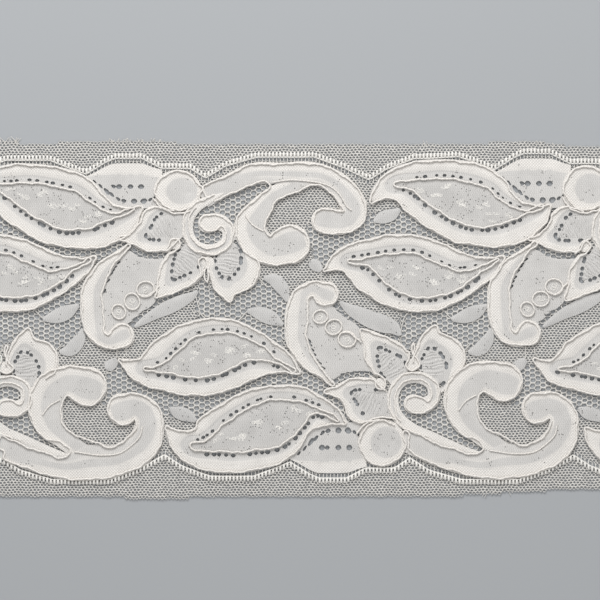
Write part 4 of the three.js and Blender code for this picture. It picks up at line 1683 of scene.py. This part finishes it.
def clothwork_material(knit):
    """Cloth: sparse grey to close white by its closeness, the grey of sparse work partly painted shade in
    its gaps, cool on leaflets, with painted shade in the knit's hollows, pinholes painted dark and figured
    hearts."""
    material, tree, shader = new_material("lace_clothwork", CLOTH_COLOUR, roughness=0.88, sheen=0.2)
    place, grain = placed_grain(tree, knit)
    close, cool, figure = (
        add_node(tree, "Attribute", attribute_name=name).outputs["Fac"]
        for name in ("closeness", "cool", "figure")
    )
    ribs, diamonds, fibres = grain.outputs
    ramp = add_node(tree, "MapRange", close, WHITE_FROM, WHITE_FULL, interpolation_type="SMOOTHSTEP")
    white = ramp.outputs[0]
    woven = calc(tree, "GREATER_THAN", close, WOVEN_OVER)
    rib_part = calc(tree, "MULTIPLY", ribs, calc(tree, "SUBTRACT", 1.0, woven))
    height = calc(tree, "MULTIPLY_ADD", diamonds, woven, rib_part)
    height = calc(tree, "MULTIPLY_ADD", fibres, FIBRE_HEIGHT, height)
    tone = calc(tree, "MULTIPLY_ADD", white, WHITE_SHARE, calc(tree, "MULTIPLY", close, CLOSE_SHARE))
    colour = add_node(tree, "MixRGB", tone, SPARSE_COLOUR, CLOSE_COLOUR).outputs[0]
    colour = add_node(tree, "MixRGB", cool, colour, COOL_COLOUR).outputs[0]
    # Painted shade: the cloth is darker in the knit's hollows and lighter on its crests
    shade = calc(tree, "MULTIPLY_ADD", height, HEIGHT_SHADE, HOLLOW_SHADE)
    shade = calc(tree, "MULTIPLY_ADD", figure, FIGURE_SHADE, shade)
    cloudy = calc(tree, "SUBTRACT", noise(tree, place, CLOTH_CLOUDS, MORE_OCTAVES), NOISE_MIDDLE)
    shade = calc(tree, "MULTIPLY_ADD", cloudy, CLOUD_SHADE, shade)
    colour = shaded(tree, colour, shade)
    pin = pinholes(tree, place, close, figure)
    dark = calc(tree, "MULTIPLY", pin, PINHOLE_DARK)
    # Pinholes painted dark, as the shade seen through a hole
    colour = add_node(tree, "MixRGB", dark, colour, PINHOLE_SHADE_COLOUR).outputs[0]
    tree.links.new(colour, shader.inputs["Base Color"])
    bumped(tree, shader, calc(tree, "SUBTRACT", height, pin), strength=0.7, depth=0.18)
    return material


def thread_material(name, base, knit):
    """Thread of the net or the comb: cream, with shade painted in the hollows between its fibres."""
    material, tree, shader = new_material(name, base, roughness=0.85, sheen=0.15)
    place, grain = placed_grain(tree, knit)
    cloudy = noise(tree, place, THREAD_CLOUDS, FEW_OCTAVES)
    shade = calc(tree, "MULTIPLY_ADD", cloudy, THREAD_CLOUDING, THREAD_HOLLOW)
    shade = calc(tree, "MULTIPLY_ADD", grain.outputs["Fibres"], THREAD_FIBRES, shade)
    tree.links.new(shaded(tree, (*base, 1), shade), shader.inputs["Base Color"])
    bumped(tree, shader, grain.outputs["Fibres"], strength=0.5, depth=0.1)
    return material


def cord_material(knit):
    """Outline cord: two plies twisted together, soft and a little brighter than the cloth. The twist is
    the cosine of twice the angle round the cord plus the turn so far. It bumps the cord and paints shade
    in the grooves between the plies."""
    material, tree, shader = new_material("outline_cord", CORD_COLOUR, roughness=0.7, sheen=0.3)
    place, grain = placed_grain(tree, knit)
    ply = add_node(tree, "Attribute", attribute_name="ply").outputs["Vector"]
    cosine, sine, run = add_node(tree, "SeparateXYZ", ply).outputs
    turn = calc(tree, "MULTIPLY", run, 2 * math.pi / PLY_TURN)
    twist = calc(tree, "SUBTRACT", calc(tree, "MULTIPLY", cosine, calc(tree, "COSINE", turn)),
                 calc(tree, "MULTIPLY", sine, calc(tree, "SINE", turn)))
    warm = calc(tree, "MULTIPLY", noise(tree, place, CORD_CLOUDS, FEW_OCTAVES), WARM_SHARE)
    colour = add_node(tree, "MixRGB", warm, CORD_PALE, CORD_WARM).outputs[0]
    # Painted shade and highlight: darker in the twist's grooves, lighter on its plies
    colour = shaded(tree, colour, calc(tree, "MULTIPLY_ADD", twist, PLY_SHADE, PLY_MIDDLE))
    tree.links.new(colour, shader.inputs["Base Color"])
    height = calc(tree, "MULTIPLY_ADD", grain.outputs["Fibres"], PLY_FIBRES, twist)
    bumped(tree, shader, height, strength=0.4, depth=0.12)
    return material


# Putting it together

# Degrees over which an edge is sharp, on cloth, on net, on the comb, and on cords and threads
CLOTH_SHARP = 40
NET_SHARP = 180
COMB_SHARP = 60
CORD_SHARP = 80

knit = knit_group()
cloth_finish = clothwork_material(knit)
net_finish = thread_material("lace_net_thread", NET_COLOUR, knit)
white_finish = thread_material("lace_white_thread", WHITE_COLOUR, knit)
cord_finish = cord_material(knit)

lace = clothwork(flower_clothwork).made("flower_clothwork", cloth_finish, CLOTH_SHARP)
leaves = clothwork(leaf_clothwork).made("leaf_clothwork", cloth_finish, CLOTH_SHARP)
fine = net(fine_cells, FINE_PITCH, FINE_ROWS, FINE_HOLE, FINE_PARTS, False, FINE_NET_SEED)
fine_net = fine.made("fine_net", net_finish, NET_SHARP)
wide = net(open_cells, OPEN_PITCH, OPEN_COLUMNS, OPEN_HOLE, OPEN_PARTS, True, OPEN_NET_SEED)
open_net = wide.made("open_net", net_finish, NET_SHARP)
border = comb_and_curls().made("comb_and_curls", white_finish, COMB_SHARP)
threads = loose_threads().made("tie_and_frayed_threads", net_finish, CORD_SHARP)
cord_pieces = {name: cords(name).made(name, cord_finish, CORD_SHARP) for name in CORDS}

ground_pieces = [leaves, fine_net, open_net, border, threads]
for piece in (lace, *ground_pieces):
    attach(piece, "root")
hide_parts("lace_ground")
cord_nodes = [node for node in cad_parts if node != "lace_ground"]
for name, piece in cord_pieces.items():
    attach(piece, "root")
    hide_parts(*(node for node in cord_nodes if node.split("_", 3)[3].startswith(CORD_NODES[name])))

cloth_area = sum(face.area for face in lace.data.polygons) / 2
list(cord_pieces.values())

# Table, light and camera, in metres

FLOOR_HALF = 3.0
FLOOR_COLOUR = (0.40, 0.415, 0.43)
floor_mesh = bpy.data.meshes.new("table_top")
floor_corners = [(x * FLOOR_HALF, y * FLOOR_HALF, 0) for x, y in ((-1, -1), (1, -1), (1, 1), (-1, 1))]
floor_mesh.from_pydata(floor_corners, [], [(0, 1, 2, 3)])
floor = bpy.data.objects.new("table_top", floor_mesh)
bpy.context.collection.objects.link(floor)
floor_mesh.materials.append(new_material("pale_table", FLOOR_COLOUR, roughness=0.95, sheen=0.0)[0])

# Lights: name, place, size, power
LIGHTS = [("key_light", (-0.12, 0.75, 0.62), 0.5, 9), ("fill_light", (0.3, -0.6, 0.9), 1.0, 3)]
SKY_STRENGTH = 0.35


def area_light(name, place, size, power):
    """A square soft light at a place, turned towards the middle of the trim: tipped by the angle between
    straight up and its place, and turned to its side."""
    light = bpy.data.lights.new(name, "AREA")
    light.size = size
    light.energy = power
    made = bpy.data.objects.new(name, light)
    bpy.context.collection.objects.link(made)
    made.location = place
    x, y, z = place
    made.rotation_euler = (math.atan2(math.hypot(x, y), z), 0, math.atan2(x, -y))


for light in LIGHTS:
    area_light(*light)
world = bpy.data.worlds.new("studio")
bpy.context.scene.world = world
world.use_nodes = True
sky = world.node_tree.nodes["Background"].inputs
sky["Color"].default_value = (1, 1, 1, 1)
sky["Strength"].default_value = SKY_STRENGTH

# Width of the view on the table, Y of its middle, and the camera's height and its film's width in
# millimetres
VIEW_SIDE = 0.216
VIEW_MIDDLE = 0.0068
CAMERA_HEIGHT = 1.5
FILM_WIDTH = 36
camera = bpy.data.objects.new("camera", bpy.data.cameras.new("camera"))
bpy.context.collection.objects.link(camera)
camera.location = (0, VIEW_MIDDLE, CAMERA_HEIGHT)
camera.data.sensor_width = FILM_WIDTH
camera.data.lens = FILM_WIDTH * CAMERA_HEIGHT / VIEW_SIDE
bpy.context.scene.camera = camera
bpy.context.scene.view_settings.view_transform = "Standard"
